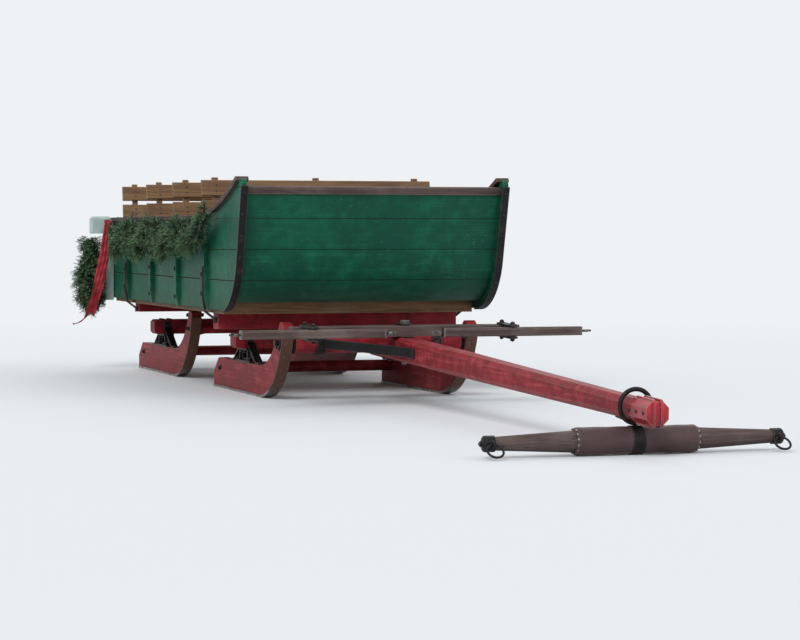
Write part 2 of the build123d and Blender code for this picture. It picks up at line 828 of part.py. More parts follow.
heel_cut = 8
evener_pin_radius = 12
with BuildPart() as pole:
    for station, cut in ((0, heel_cut), (pole_straight, pole_cut), (pole_length, pole_cut)):
        with BuildSketch(pole_across.offset(station)):
            with BuildLine():
                Polyline(*squared_timber(*pole_section(station), cut), close=True)
            make_face()
    loft(ruled=True)
    with BuildSketch(Plane.YZ.offset(-pole_width)):
        with Locations((roller_y, roller_z)):
            Circle(roller_radius + seat_gap)
    extrude(amount=2 * pole_width, mode=Mode.SUBTRACT)
    with BuildSketch(pole_back.offset(-pole_height)):
        with Locations((evener_station, 0)):
            Circle(evener_pin_radius + pin_play)
    extrude(amount=2 * pole_height, mode=Mode.SUBTRACT)
pole.part.label = "pole"
export_step(pole.part, "parts/pole.step")

# Roller across the front bob's noses, with an iron gudgeon in each end
roller_play = 19
collar_thick = 8
collar_step = 6
gudgeon_tail = 18
roller_half_length = inside - eye_thick - roller_play
gudgeon_end = inside + runner_thick + eye_thick + gudgeon_tail
with BuildPart() as roller:
    with BuildSketch(Plane.YZ.offset(-roller_half_length)):
        with Locations((roller_y, roller_z)):
            Circle(roller_radius)
    extrude(amount=2 * roller_half_length)
roller.part.label = "roller"
export_step(roller.part, "parts/roller.step")

with BuildPart() as gudgeons:
    for reach, radius in (
        (gudgeon_end - roller_half_length, gudgeon_radius),
        (collar_thick, roller_radius - collar_step),
    ):
        with BuildSketch(Plane.YZ.offset(roller_half_length)):
            with Locations((roller_y, roller_z)):
                Circle(radius)
        extrude(amount=reach)
    mirror(about=Plane.YZ)
gudgeons.part.label = "gudgeons"
export_step(gudgeons.part, "parts/gudgeons.step")

# Pole irons: hound irons to the roller's sides, a heel strap round the roller,
# the evener's plate, the strap over it, and the stop behind the yoke's ring
hound_side = 300
hound_station = 640
hound_foot = 130
hound_thick = 10
hound_width = 46
hound_bend = 25
hound_straight = 40
hound_lap = 2
hound_ring = roller_radius + seat_gap
heel_thick = 8
heel_width = 60
heel_reach = 250
heel_inner = max(pole_height / 2, roller_radius) + seat_gap
heel_outer = heel_inner + heel_thick
bed_thick = 8
bed_length = 110
evener_bed = pole_height / 2 + bed_thick
evener_thick = 50
evener_depth = 90
over_thick = 6
over_width = 50
over_play = 5
over_bend = 14
over_step = 45
over_grip = 90
over_slant = 8
over_tail = 30
over_low = evener_bed + evener_thick + over_play + over_thick / 2
over_foot = evener_station - evener_depth / 2 - over_step
stop_gap = 13
stop_width = 36
stop_length = 128
stop_thick = 22
stop_plate = 6
stop_slant = 10
stop_reach = 18
stop_front = yoke_station - ring_wire - stop_gap
stop_back = stop_front - stop_length
stop_low = pole_section(stop_front)[1] / 2 + stop_reach
with BuildPart() as pole_irons:
    with BuildSketch(pole_back.offset(-hound_width / 2)):
        with BuildLine():
            FilletPolyline(
                (hound_ring + hound_lap, hound_side),
                (hound_ring + hound_straight, hound_side),
                (hound_station, (pole_width + hound_thick) / 2),
                (hound_station + hound_foot, (pole_width + hound_thick) / 2),
                radius=hound_bend,
            )
        trace(line_width=hound_thick)
    extrude(amount=hound_width)
    with BuildSketch(pole_side.offset(-hound_side - hound_width / 2)):
        Circle(hound_ring + hound_thick)
        Circle(hound_ring, mode=Mode.SUBTRACT)
    extrude(amount=hound_width)
    mirror(about=Plane.YZ)
    with BuildSketch(pole_side.offset(-heel_width / 2)):
        with BuildLine():
            Line((heel_reach, heel_inner), (0, heel_inner))
            CenterArc((0, 0), heel_inner, 90, 180)
            Polyline(
                (0, -heel_inner),
                (heel_reach, -heel_inner),
                (heel_reach, -heel_outer),
                (0, -heel_outer),
            )
            CenterArc((0, 0), heel_outer, 270, -180)
            Polyline((0, heel_outer), (heel_reach, heel_outer), (heel_reach, heel_inner))
        make_face()
    extrude(amount=heel_width)
    with BuildSketch(pole_back.offset(pole_height / 2)):
        with Locations((evener_station, 0)):
            Rectangle(bed_length, pole_width - 2 * pole_cut)
            Circle(evener_pin_radius + pin_play, mode=Mode.SUBTRACT)
    extrude(amount=bed_thick)
    with BuildSketch(pole_side.offset(-over_width / 2)):
        with BuildLine():
            FilletPolyline(
                (over_foot - over_grip, pole_height / 2 + over_thick / 2),
                (over_foot, pole_height / 2 + over_thick / 2),
                (over_foot + over_slant, over_low),
                (evener_station + over_tail, over_low),
                radius=over_bend,
            )
        trace(line_width=over_thick)
    extrude(amount=over_width)
    with BuildSketch(pole_side.offset(-stop_width / 2)):
        with BuildLine():
            Polyline(
                (stop_back, -pole_section(stop_back)[1] / 2),
                (stop_front, -pole_section(stop_front)[1] / 2),
                (stop_front, -stop_low),
                (stop_front - stop_thick, -stop_low),
                (stop_front - stop_thick - stop_slant, stop_plate - stop_low),
                (stop_back, -pole_section(stop_back)[1] / 2 - stop_plate),
                close=True,
            )
        make_face()
    extrude(amount=stop_width)
    with BuildSketch(pole_back.offset(over_low - over_thick)):
        with Locations((evener_station, 0)):
            Circle(evener_pin_radius + pin_play)
    extrude(amount=2 * over_thick, mode=Mode.SUBTRACT)
pole_irons.part.label = "pole_irons"
export_step(pole_irons.part, "parts/pole_irons.step")

# Evener pin: it stands through the pole, the evener and the strap, under its own head
pin_head = 14
pin_head_radius = 22
pin_below = 20
pin_top = over_low + over_thick / 2
with BuildPart() as evener_pin:
    with BuildSketch(pole_back.offset(-pole_height / 2 - pin_below)):
        with Locations((evener_station, 0)):
            Circle(evener_pin_radius)
    extrude(amount=pole_height / 2 + pin_below + pin_top)
    with BuildSketch(pole_back.offset(pin_top)):
        with Locations((evener_station, 0)):
            Circle(pin_head_radius)
    extrude(amount=pin_head)
evener_pin.part.label = "evener_pin"
export_step(evener_pin.part, "parts/evener_pin.step")

# Pole cap: the steel hood over the pole's tip, with two ribs that run round its end
cap_length = 168
cap_wall = 5
cap_cut = 0.6
rib_thick = 9
rib_width = 10
rib_side = 15
rib_round = 16
rib_setback = 20
rib_lap = 0.5
cap_start = pole_length - cap_length
rib_level = pole_tip_width / 2 + cap_wall + rib_thick / 2 - rib_lap
rib_end = pole_length + cap_wall + rib_thick / 2 - rib_lap
with BuildPart() as pole_cap:
    for station in (cap_start, pole_length):
        width, height = pole_section(station)
        with BuildSketch(pole_across.offset(station)):
            with BuildLine():
                Polyline(
                    *squared_timber(
                        width + 2 * cap_wall, height + 2 * cap_wall, pole_cut + cap_cut * cap_wall
                    ),
                    close=True,
                )
            make_face()
    loft(ruled=True)
    extrude(pole_cap.faces().sort_by(Axis.Y)[0], amount=cap_wall)
    for rib_x in (-rib_side, rib_side):
        with BuildSketch(pole_side.offset(-rib_x - rib_width / 2)):
            with BuildLine():
                FilletPolyline(
                    (cap_start + rib_setback, -rib_level),
                    (rib_end, -rib_level),
                    (rib_end, rib_level),
                    (cap_start + rib_setback, rib_level),
                    radius=rib_round,
                )
            trace(line_width=rib_thick)
        extrude(amount=rib_width)
    add(pole.part, mode=Mode.SUBTRACT)
pole_cap.part.label = "pole_cap"
export_step(pole_cap.part, "parts/pole_cap.step")

# Evener: a wooden bar pinned across the pole, with its back tapered to the ends
evener_taper = 28
evener_middle = 172
evener_back = evener_station - evener_depth / 2
evener_front = evener_station + evener_depth / 2
with BuildPart() as evener:
    with BuildSketch(pole_back.offset(evener_bed)):
        with BuildLine():
            Polyline(
                (evener_front, -evener_half_length),
                (evener_front, evener_half_length),
                (evener_back + evener_taper, evener_half_length),
                (evener_back, evener_middle),
                (evener_back, -evener_middle),
                (evener_back + evener_taper, -evener_half_length),
                close=True,
            )
        make_face()
        with Locations((evener_station, 0)):
            Circle(evener_pin_radius + pin_play, mode=Mode.SUBTRACT)
    extrude(amount=evener_thick)
evener.part.label = "evener"
export_step(evener.part, "parts/evener.step")

# End irons: a plate over and under each end of the evener, and the pin between them
iron_plate = 8
iron_half = 26
tree_station = evener_station + tree_reach
tree_pin_radius = 9
with BuildPart() as evener_irons:
    for level in (evener_bed - iron_plate, evener_bed + evener_thick):
        with BuildSketch(pole_back.offset(level)):
            with Locations(((evener_station + tree_station) / 2, tree_side)):
                SlotOverall(tree_reach + 2 * iron_half, 2 * iron_half)
        extrude(amount=iron_plate)
    with BuildSketch(pole_back.offset(evener_bed)):
        with Locations((tree_station, tree_side)):
            Circle(tree_pin_radius)
    extrude(amount=evener_thick)
    mirror(about=Plane.YZ)
evener_irons.part.label = "evener_irons"
export_step(evener_irons.part, "parts/evener_irons.step")

# Singletrees: tapered bars with an iron cap and an open hook at each end
tree_depth = 56
tree_tip_depth = 34
tree_thick = 42
tree_bevel = 7
tree_bed = evener_bed + (evener_thick - tree_thick) / 2
cap_plate = 6
hook_radius = 20
hook_wire = 10
hook_neck = 8
neck_lap = 2
hook_level = tree_bed + (tree_thick - hook_wire) / 2
for tree_name, tree_x in (("left", tree_side), ("right", -tree_side)):
    with BuildPart() as tree:
        with BuildSketch(pole_back.offset(tree_bed)):
            with BuildLine():
                Polyline(
                    (tree_station - tree_depth / 2, tree_x),
                    (tree_station - tree_tip_depth / 2, tree_x - tree_half_length),
                    (tree_station + tree_tip_depth / 2, tree_x - tree_half_length),
                    (tree_station + tree_depth / 2, tree_x),
                    (tree_station + tree_tip_depth / 2, tree_x + tree_half_length),
                    (tree_station - tree_tip_depth / 2, tree_x + tree_half_length),
                    close=True,
                )
            make_face()
        extrude(amount=tree_thick)
        long_edges = tree.edges().filter_by(lambda edge: edge.length > tree_half_length)
        chamfer(long_edges, tree_bevel)
        with BuildSketch(pole_back.offset(tree_bed)):
            with Locations((tree_station, tree_x)):
                Circle(tree_pin_radius + pin_play)
        extrude(amount=tree_thick, mode=Mode.SUBTRACT)
    tree.part.label = "singletree_" + tree_name
    export_step(tree.part, "parts/singletree_" + tree_name + ".step")

    with BuildPart() as hooks:
        for end in (-1, 1):
            end_x = tree_x + end * tree_half_length
            hook_x = end_x + end * (cap_plate + hook_neck + hook_radius)
            with BuildSketch(pole_back.offset(tree_bed)):
                with Locations((tree_station, end_x + end * cap_plate / 2)):
                    Rectangle(tree_tip_depth, cap_plate)
            extrude(amount=tree_thick)
            with BuildSketch(pole_back.offset(hook_level)):
                with BuildLine():
                    CenterArc(
                        (tree_station, hook_x), hook_radius, 180 - 90 * end, end * 270
                    )
                trace(line_width=hook_wire)
                with Locations((tree_station, end_x + end * (cap_plate + hook_neck / 2))):
                    Rectangle(hook_wire + 2 * neck_lap, hook_neck + 2 * neck_lap)
            extrude(amount=hook_wire)
    hooks.part.label = "tree_hooks_" + tree_name
    export_step(hooks.part, "parts/tree_hooks_" + tree_name + ".step")

# Neck yoke: a turned bar, thick in the middle, that hangs under the pole's tip
yoke_tip_radius = 24
yoke_flat = 90
yoke_origin = (
    0,
    roller_y + yoke_station * pole_forward[1] - yoke_drop * pole_up[1],
    yoke_z,
)
with BuildPart() as neck_yoke:
    with BuildSketch(Plane(origin=yoke_origin, x_dir=(1, 0, 0), z_dir=(0, -1, 0))):
        with BuildLine():
            Polyline(
                (-yoke_half_length, 0),
                (-yoke_half_length, yoke_tip_radius),
                (-yoke_flat, yoke_radius),
                (yoke_flat, yoke_radius),
                (yoke_half_length, yoke_tip_radius),
                (yoke_half_length, 0),
                close=True,
            )
        make_face()
    revolve(axis=Axis(yoke_origin, (1, 0, 0)))
neck_yoke.part.label = "neck_yoke"
export_step(neck_yoke.part, "parts/neck_yoke.step")

# Yoke irons: the band round the bar's middle and the ring round the pole
band_half = 24
yoke_across = Plane(origin=yoke_origin, x_dir=(0, -1, 0), z_dir=(1, 0, 0))
ring_rise = yoke_drop + ring_lift
ring_centre = (
    0,
    yoke_origin[1] + ring_rise * pole_up[1],
    yoke_origin[2] + ring_rise * pole_up[2],
)
with BuildPart() as yoke_irons:
    with BuildSketch(yoke_across.offset(-band_half)):
        Circle(yoke_z)
        Circle(yoke_radius + seat_gap, mode=Mode.SUBTRACT)
    extrude(amount=2 * band_half)
    with BuildSketch(Plane(origin=ring_centre, x_dir=pole_forward, z_dir=(-1, 0, 0))):
        with Locations((0, ring_radius)):
            Circle(ring_wire)
    revolve(axis=Axis(ring_centre, pole_forward))
yoke_irons.part.label = "yoke_irons"
export_step(yoke_irons.part, "parts/yoke_irons.step")

# Yoke ends: a band, a cap and an eye at each end of the bar
end_band = 34
end_play = 2
end_wall = 5
end_radius = yoke_tip_radius + end_play + end_wall
end_cap = 10
end_round = 9
eye_mean = 11
eye_wire = 4
eye_lap = 1
end_eye_y = yoke_origin[1] - end_radius - eye_mean + eye_lap
end_eye_x = yoke_half_length - end_band / 2
with BuildPart() as yoke_ends:
    with BuildSketch(yoke_across.offset(yoke_half_length - end_band)):
        Circle(end_radius)
        Circle(yoke_tip_radius + end_play, mode=Mode.SUBTRACT)
    extrude(amount=end_band)
    with BuildSketch(yoke_across.offset(yoke_half_length)):
        Circle(end_radius)
    extrude(amount=end_cap)
    fillet(yoke_ends.faces().sort_by(Axis.X)[-1].edges(), end_round)
    with BuildSketch(Plane.XY.offset(yoke_z)):
        with Locations((end_eye_x, end_eye_y + eye_mean)):
            Circle(eye_wire)
    revolve(axis=Axis((end_eye_x, end_eye_y, yoke_z), (1, 0, 0)))
    mirror(about=Plane.YZ)
yoke_ends.part.label = "yoke_ends"
export_step(yoke_ends.part, "parts/yoke_ends.step")

# Yoke end rings: they hang in the eyes and lean on the ground
end_ring_mean = 31
end_ring_wire = 4.5
ring_tilt = radians(42)
ring_back = eye_mean - eye_wire - end_ring_wire - seat_gap
ring_step = ring_back + end_ring_mean
end_ring_plane = Plane(
    origin=(
        end_eye_x,
        end_eye_y - ring_step * cos(ring_tilt),
        yoke_z - ring_step * sin(ring_tilt),
    ),
    x_dir=(0, cos(ring_tilt), sin(ring_tilt)),
    z_dir=(1, 0, 0),
)
with BuildPart() as yoke_end_rings:
    with BuildSketch(end_ring_plane):
        with Locations((end_ring_mean, 0)):
            Circle(end_ring_wire)
    revolve(axis=Axis(end_ring_plane.origin, end_ring_plane.y_dir))
    mirror(about=Plane.YZ)
yoke_end_rings.part.label = "yoke_end_rings"
export_step(yoke_end_rings.part, "parts/yoke_end_rings.step")

# Garlands: fir swags along each rail and a bunch at the rear corner
swag_radius = 55
swag_count = 4
swag_drop = 120
swag_sink = 20
swag_play = 8
swag_tail_step = 240
swag_front_step = 10
swag_back = tail_back - swag_tail_step
swag_front = dash_foot + swag_front_step
swag_front_rise = 60
swag_x = stake_outside + seat_gap + swag_radius
swag_pitch = (swag_back - swag_front) / swag_count
bunch_radius = 88
bunch_length = 490
bunch_gap = 5
bunch_taper = 90
bunch_crown = 30
bunch_waist = 200
bunch_setback = 63
bunch_crown_share = 0.6
bunch_foot_share = 0.85
bunch_top = head_bottom - bunch_gap
bunch_bottom = bunch_top - bunch_length
bunch_x = side_outside + post_thick + seat_gap + bunch_radius
bunch_y = tail_back - bunch_setback
with BuildPart() as garland_left:
    for swag in range(swag_count):
        start_y = swag_back - swag_pitch * swag
        start_z = rail_height - swag_sink
        end_z = start_z + (swag_front_rise if swag == swag_count - 1 else 0)
        with BuildLine() as swag_line:
            ThreePointArc(
                (swag_x, start_y - swag_play, start_z),
                (swag_x, start_y - swag_pitch / 2, (start_z + end_z) / 2 - swag_drop),
                (swag_x, start_y - swag_pitch + swag_play, end_z),
            )
        with BuildSketch(swag_line.line ^ 0):
            Circle(swag_radius)
        sweep()
    with BuildSketch(Plane.XZ.offset(-bunch_y)):
        with BuildLine():
            Polyline(
                (bunch_x, bunch_top),
                (bunch_x + bunch_radius * bunch_crown_share, bunch_top - bunch_crown),
                (bunch_x + bunch_radius, bunch_top - bunch_waist),
                (bunch_x + bunch_radius * bunch_foot_share, bunch_bottom + bunch_taper),
                (bunch_x, bunch_bottom),
                close=True,
            )
        make_face()
    revolve(axis=Axis((bunch_x, bunch_y, 0), (0, 0, 1)))
garland_left.part.label = "garland_left"
export_step(garland_left.part, "parts/garland_left.step")

with BuildPart() as garland_right:
    add(garland_left.part)
    mirror(about=Plane.YZ, mode=Mode.REPLACE)
garland_right.part.label = "garland_right"
export_step(garland_right.part, "parts/garland_right.step")

# Ribbons: a hanging strip in front of each bunch
ribbon_width = 66
ribbon_thick = 3
ribbon_lean = 110
ribbon_drop = 12
ribbon_top = rail_height - ribbon_drop
ribbon_bottom = bunch_bottom
ribbon_x = rail_outside + seat_gap
with BuildPart() as ribbon_left:
    with BuildSketch(Plane.XZ.offset(-bunch_y + bunch_radius + seat_gap)):
        with BuildLine():
            Polyline(
                (ribbon_x, ribbon_top),
                (ribbon_x + ribbon_width, ribbon_top),
                (ribbon_x + ribbon_width + ribbon_lean, ribbon_bottom),
                (ribbon_x + ribbon_lean, ribbon_bottom),
                close=True,
            )
        make_face()
    extrude(amount=ribbon_thick)
ribbon_left.part.label = "ribbon_left"
export_step(ribbon_left.part, "parts/ribbon_left.step")

with BuildPart() as ribbon_right:
    add(ribbon_left.part)
    mirror(about=Plane.YZ, mode=Mode.REPLACE)
ribbon_right.part.label = "ribbon_right"
export_step(ribbon_right.part, "parts/ribbon_right.step")
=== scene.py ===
"""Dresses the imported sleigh: paint, timber, iron, leather and cloth, bolts, garlands and ribbons."""

import math

import bpy
import numpy as np
from mathutils import Matrix, Vector


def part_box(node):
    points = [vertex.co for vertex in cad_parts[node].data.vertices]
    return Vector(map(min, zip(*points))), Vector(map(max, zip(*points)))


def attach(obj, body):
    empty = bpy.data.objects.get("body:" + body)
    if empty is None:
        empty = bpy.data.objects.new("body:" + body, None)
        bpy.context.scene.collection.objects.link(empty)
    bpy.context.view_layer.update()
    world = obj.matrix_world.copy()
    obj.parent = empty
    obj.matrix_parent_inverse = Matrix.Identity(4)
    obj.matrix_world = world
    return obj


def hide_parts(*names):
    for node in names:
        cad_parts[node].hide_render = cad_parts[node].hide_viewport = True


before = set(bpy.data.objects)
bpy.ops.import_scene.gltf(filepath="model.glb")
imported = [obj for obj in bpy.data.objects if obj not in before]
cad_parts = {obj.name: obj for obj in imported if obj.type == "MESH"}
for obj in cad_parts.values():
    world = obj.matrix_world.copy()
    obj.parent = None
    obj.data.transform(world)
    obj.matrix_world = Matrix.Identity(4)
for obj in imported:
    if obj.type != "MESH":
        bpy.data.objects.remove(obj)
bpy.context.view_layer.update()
draws = np.random.default_rng(1887)

X, Y, Z = 0, 1, 2
LEFT_AND_RIGHT = (("left", 1), ("right", -1))
OUT = Vector((1, 0, 0))
IN = Vector((-1, 0, 0))
FORE = Vector((0, -1, 0))
AFT = Vector((0, 1, 0))
UP = Vector((0, 0, 1))
DOWN = Vector((0, 0, -1))

# Places that the solids were built to, in metres
BOX_HALF = 0.670
SIDE_THICK = 0.025
SIDE_LOW = 0.440
GROOVE_PITCH = 0.155
FLOOR_TOP = 0.502
BOARD_WIDTH = 0.164
BOARD_PITCH = 0.168
KING_Y = 0.782
ROCKER_Y = 2.732
GAUGE_HALF = 0.480
RUNNER_THICK = 0.050
RUNNER_TOP = 0.162
BUNK_LOW = 0.235
BUNK_HIGH = 0.320
ROLLER_Y = 0.07410
ROLLER_Z = 0.29107
POLE_SLOPE = math.radians(2.057187)
BENCH_ROWS = (0.952, 1.638667, 2.325333, 3.012)
BENCH_TOP = 0.880
RISER_ROWS = (-0.560, 0.0, 0.560)


# Shader maths


class Signal:
    """A number or colour on its way through the nodes; plain arithmetic adds Math nodes."""

    def __init__(self, owner, socket):
        self.owner = owner
        self.socket = socket

    def maths(self, operation, first, second=0.0):
        return self.owner.node("ShaderNodeMath", {"operation": operation}, {0: first, 1: second})

    def __add__(self, other):
        return self.maths("ADD", self, other)

    def __sub__(self, other):
        return self.maths("SUBTRACT", self, other)

    def __rsub__(self, other):
        return self.maths("SUBTRACT", other, self)

    def __mul__(self, other):
        return self.maths("MULTIPLY", self, other)

    def __truediv__(self, other):
        return self.maths("DIVIDE", self, other)

    def __abs__(self):
        return self.maths("ABSOLUTE", self)

    def floor(self):
        return self.maths("FLOOR", self)

    def wave(self):
        return self.maths("PINGPONG", self, 1.0)

    def larger(self, other):
        return self.maths("MAXIMUM", self, other)

    __radd__ = __add__
    __rmul__ = __mul__


class Nodes:
    """A tree of shader nodes."""

    def __init__(self, tree):
        self.tree = tree

    def node(self, kind, settings=None, inputs=None, output=0):
        """Adds a node with its settings first, then the values or links of its sockets."""
        made = self.tree.nodes.new(kind)
        for name, value in (settings or {}).items():
            setattr(made, name, value)
        self.join(made, inputs or {})
        return Signal(self, made.outputs[output])

    def join(self, made, inputs):
        """Sets a node's sockets to numbers or links them to signals."""
        for name, value in inputs.items():
            if isinstance(value, Signal):
                self.tree.links.new(value.socket, made.inputs[name])
            else:
                made.inputs[name].default_value = value


def colour(red, green, blue):
    """A screen colour from 0 to 255 as a shader's linear one."""
    return tuple(
        (value / 12.92 if value <= 0.04045 else ((value + 0.055) / 1.055) ** 2.4)
        for value in (red / 255, green / 255, blue / 255)
    ) + (1.0,)


def darker(tint, share):
    """The same tint at this share of its brightness."""
    return tuple(value * share for value in tint[:3]) + (1.0,)


def drawn_out(axis, across, along):
    """A pattern's scales, fine across the grain and long along it."""
    scales = [across, across, across]
    scales[axis] = along
    return scales


class Finish(Nodes):
    """A procedural material."""

    def __init__(self, name):
        self.material = bpy.data.materials.new(name)
        self.material.use_nodes = True
        super().__init__(self.material.node_tree)
        self.shader = self.tree.nodes["Principled BSDF"]

    def spot(self):
        """Where the shaded point is on the piece."""
        return self.node("ShaderNodeTexCoord", output="Object")

    def part(self, vector, axis):
        return self.node("ShaderNodeSeparateXYZ", {}, {0: vector}, output=axis)

    def along(self, axis):
        return self.part(self.spot(), axis)

    def stored(self, name):
        """A number kept at the mesh's points."""
        return self.node("ShaderNodeAttribute", {"attribute_name": name}, output="Fac")

    def vectors(self, operation, *inputs, output=0):
        return self.node(
            "ShaderNodeVectorMath", {"operation": operation}, dict(enumerate(inputs)), output
        )

    def place(self, stretch, shift=None):
        """The point, stretched, and shifted by a number in all directions."""
        spot = self.spot()
        if shift is not None:
            spot = self.vectors("ADD", spot, shift)
        return self.vectors("MULTIPLY", spot, stretch)

    def noise(self, place, scale, detail=2.0, roughness=0.5, distortion=0.0):
        sockets = {"Vector": place, "Scale": scale, "Detail": detail, "Roughness": roughness}
        return self.node("ShaderNodeTexNoise", {}, {**sockets, "Distortion": distortion})

    def blotch(self, scale, detail, roughness, distortion=0.0):
        """Noise of the same size in all directions."""
        return self.noise(self.spot(), scale, detail, roughness, distortion)

    def step(self, value, low, high):
        """Rises smoothly from 0 at low to 1 at high."""
        return self.node(
            "ShaderNodeMapRange",
            {"interpolation_type": "SMOOTHSTEP"},
            {"Value": value, "From Min": low, "From Max": high},
        )

    def mix(self, share, first, second):
        """The first colour, with this share of the second."""
        return self.node(
            "ShaderNodeMix", {"data_type": "RGBA"}, {0: share, 6: first, 7: second}, output=2
        )

    def rounded(self, radius):
        """The surface's direction as if its edges had this radius."""
        return self.node("ShaderNodeBevel", {"samples": 4}, {"Radius": radius})

    def edge(self, radius):
        """1 on the edges, 0 on the faces."""
        facing = self.node("ShaderNodeNewGeometry", output="Normal")
        together = self.vectors("DOT_PRODUCT", self.rounded(radius), facing, output="Value")
        return self.step(1.0 - together, 0.006, 0.11)

    def occlusion_shade_mask(self, reach):
        """1 in the corners and under the laps, where shade falls, and 0 in the open: the mask of
        painted shade.
        """
        open_air = self.node(
            "ShaderNodeAmbientOcclusion", {"samples": 4}, {"Distance": reach}, output="AO"
        )
        return self.step(1.0 - open_air, 0.22, 0.80)

    def with_painted_shade(self, tint, reach, share, shade_tint):
        """The tint, darkened towards a shade tint in its hollows by this share: painted shade."""
        return self.mix(self.occlusion_shade_mask(reach) * share, tint, shade_tint)

    def cracks(self, axis, patch):
        """Thin checks that run with the grain, where the patch is high."""
        vein = self.noise(self.place(drawn_out(axis, 74.0, 0.7)), 1.0, 0.0)
        return (1.0 - self.step(abs(vein - 0.5), 0.0, 0.016)) * self.step(patch, 0.48, 0.62)

    def relief(self, height, depth, strength=1.0, radius=0.0025):
        """The surface's direction over this height, with its edges rounded."""
        sockets = {"Height": height, "Distance": depth, "Strength": strength}
        return self.node("ShaderNodeBump", {}, {**sockets, "Normal": self.rounded(radius)})

    def coat(self, **sockets):
        """Sets the shader's own sockets, whose names are written with underscores."""
        named = {name.replace("_", " "): value for name, value in sockets.items()}
        self.join(self.shader, named)
        return self.material


# Finishes


def timber_figure(finish, axis, boards=None):
    """Grain along an axis, as (figure, fibre, tone of each board), all from 0 to 1."""
    tone = None
    if boards is not None:
        board_axis, start, pitch = boards
        row = ((finish.along(board_axis) - start) / pitch).floor()
        tone = finish.node("ShaderNodeTexWhiteNoise", {"noise_dimensions": "1D"}, {"W": row})
    shift = None if tone is None else tone * 3.7
    swirl = finish.noise(finish.place(drawn_out(axis, 11.0, 0.8), shift), 1.3, 2.0, 0.5, 0.8)
    figure = (swirl * 11.0).wave()
    fibre = finish.noise(finish.place(drawn_out(axis, 230.0, 7.0), shift), 1.0, 3.0, 0.6)
    return figure, fibre, tone


def timber(name, dark, light, worn, axis, boards=None, gloss=0.62, wear=0.5):
    """Oiled or weathered timber: grain, checks, soft wear on its edges, painted shade in its corners.
    """
    finish = Finish(name)
    figure, fibre, tone = timber_figure(finish, axis, boards)
    patch = finish.blotch(3.2, 3.0, 0.6)
    body = finish.mix(figure * 0.55 + fibre * 0.45, dark, light)
    if tone is not None:
        body = finish.mix(tone * 0.5, body, dark)
    body = finish.mix(finish.step(patch, 0.5, 0.75) * 0.4, body, worn)
    rub = finish.edge(0.007)
    scuff = finish.blotch(26.0, 4.0, 0.7)
    body = finish.mix(finish.step(rub * wear + scuff * 0.75, 0.62, 0.95) * 0.75, body, worn)
    check = finish.cracks(axis, patch)
    body = finish.mix(check * 0.75, body, darker(dark, 0.3))
    # Painted shade: the timber darkens in its corners and under the laps
    body = finish.with_painted_shade(body, 0.06, 0.6, darker(dark, 0.5))
    height = fibre * 0.5 + figure * 0.25 + scuff * 0.3 - check * 0.8
    return finish.coat(
        Base_Color=body,
        Specular_IOR_Level=0.35,
        Roughness=gloss + fibre * 0.18 - rub * 0.08,
        Normal=finish.relief(height, 0.0016, 0.75),
    )


def painted(name, paint, deep, faded, under, axis, boards=None, gloss=0.52, wear=0.5,
            mottled=0.4, streaked=0.22, splash=(0.42, 0.53), seams=False):
    """Brushed paint on timber: mottled, streaked with the brush, checked along the grain, chipped
    and rubbed to the wood on its edges, painted shade in its corners, dirty between the splash heights."""
    finish = Finish(name)
    figure, fibre, tone = timber_figure(finish, axis, boards)
    cloud = finish.blotch(1.9, 4.0, 0.6)
    mottle = finish.blotch(15.0, 6.0, 0.68)
    brush = finish.place(drawn_out(axis, 64.0, 3.0))
    stroke = finish.noise(brush, 1.0, 3.0, 0.55)
    patches = finish.step(cloud * (1.0 - mottled) + mottle * mottled, 0.40, 0.62)
    coat = finish.mix(patches, deep, paint)
    streak = finish.step(stroke * 0.6 + mottle * 0.4, 0.50, 0.64)
    coat = finish.mix(streak * streaked, coat, faded)
    if tone is not None:
        coat = finish.mix(tone * 0.4, coat, deep)
    rub = finish.edge(0.006)
    chip = finish.blotch(38.0, 5.0, 0.68, 0.4)
    scrape = finish.noise(brush, 2.2, 3.0, 0.6)
    loss = rub * (0.46 * wear) + chip * 0.86 + scrape * 0.30
    bare = finish.step(loss, 0.800 - 0.03 * mottled, 0.820 - 0.03 * mottled)
    thin = finish.step(loss, 0.720 - 0.06 * mottled, 0.795 - 0.04 * mottled)
    check = finish.cracks(axis, cloud)
    body = finish.mix(thin * 0.55, coat, faded)
    body = finish.mix(check * 0.7, body, darker(deep, 0.35))
    body = finish.mix(bare, body, finish.mix(fibre, under, darker(under, 0.42)))
    low, high = splash
    height = finish.along(Z) + mottle * (0.9 * (low - high)) + 0.4 * (high - low)
    thrown = (1.0 - finish.step(height, low, high)) * finish.step(mottle, 0.36, 0.58)
    body = finish.mix(thrown * 0.30, body, colour(96, 88, 74))
    # Painted shade: the paint darkens in its corners and under the laps
    body = finish.with_painted_shade(body, 0.055, 0.62, darker(deep, 0.32))
    relief = fibre * 0.16 + stroke * 0.20 + (1.0 - bare) * 0.55 - check * 0.6
    if seams:
        row = (finish.along(Z) - SIDE_LOW) / GROOVE_PITCH
        seam = 1.0 - finish.step(abs(row - (row + 0.5).floor()), 0.010, 0.022)
        body = finish.mix(seam * 0.75, body, darker(deep, 0.3))
        relief = relief - seam * 2.2
    return finish.coat(
        Base_Color=body,
        Specular_IOR_Level=0.22,
        Roughness=gloss + stroke * 0.12 + bare * 0.3 + thrown * 0.2 - rub * 0.06,
        Coat_Weight=(1.0 - thin) * 0.04,
        Coat_Roughness=0.25,
        Normal=finish.relief(relief, 0.0014, 0.7),
    )


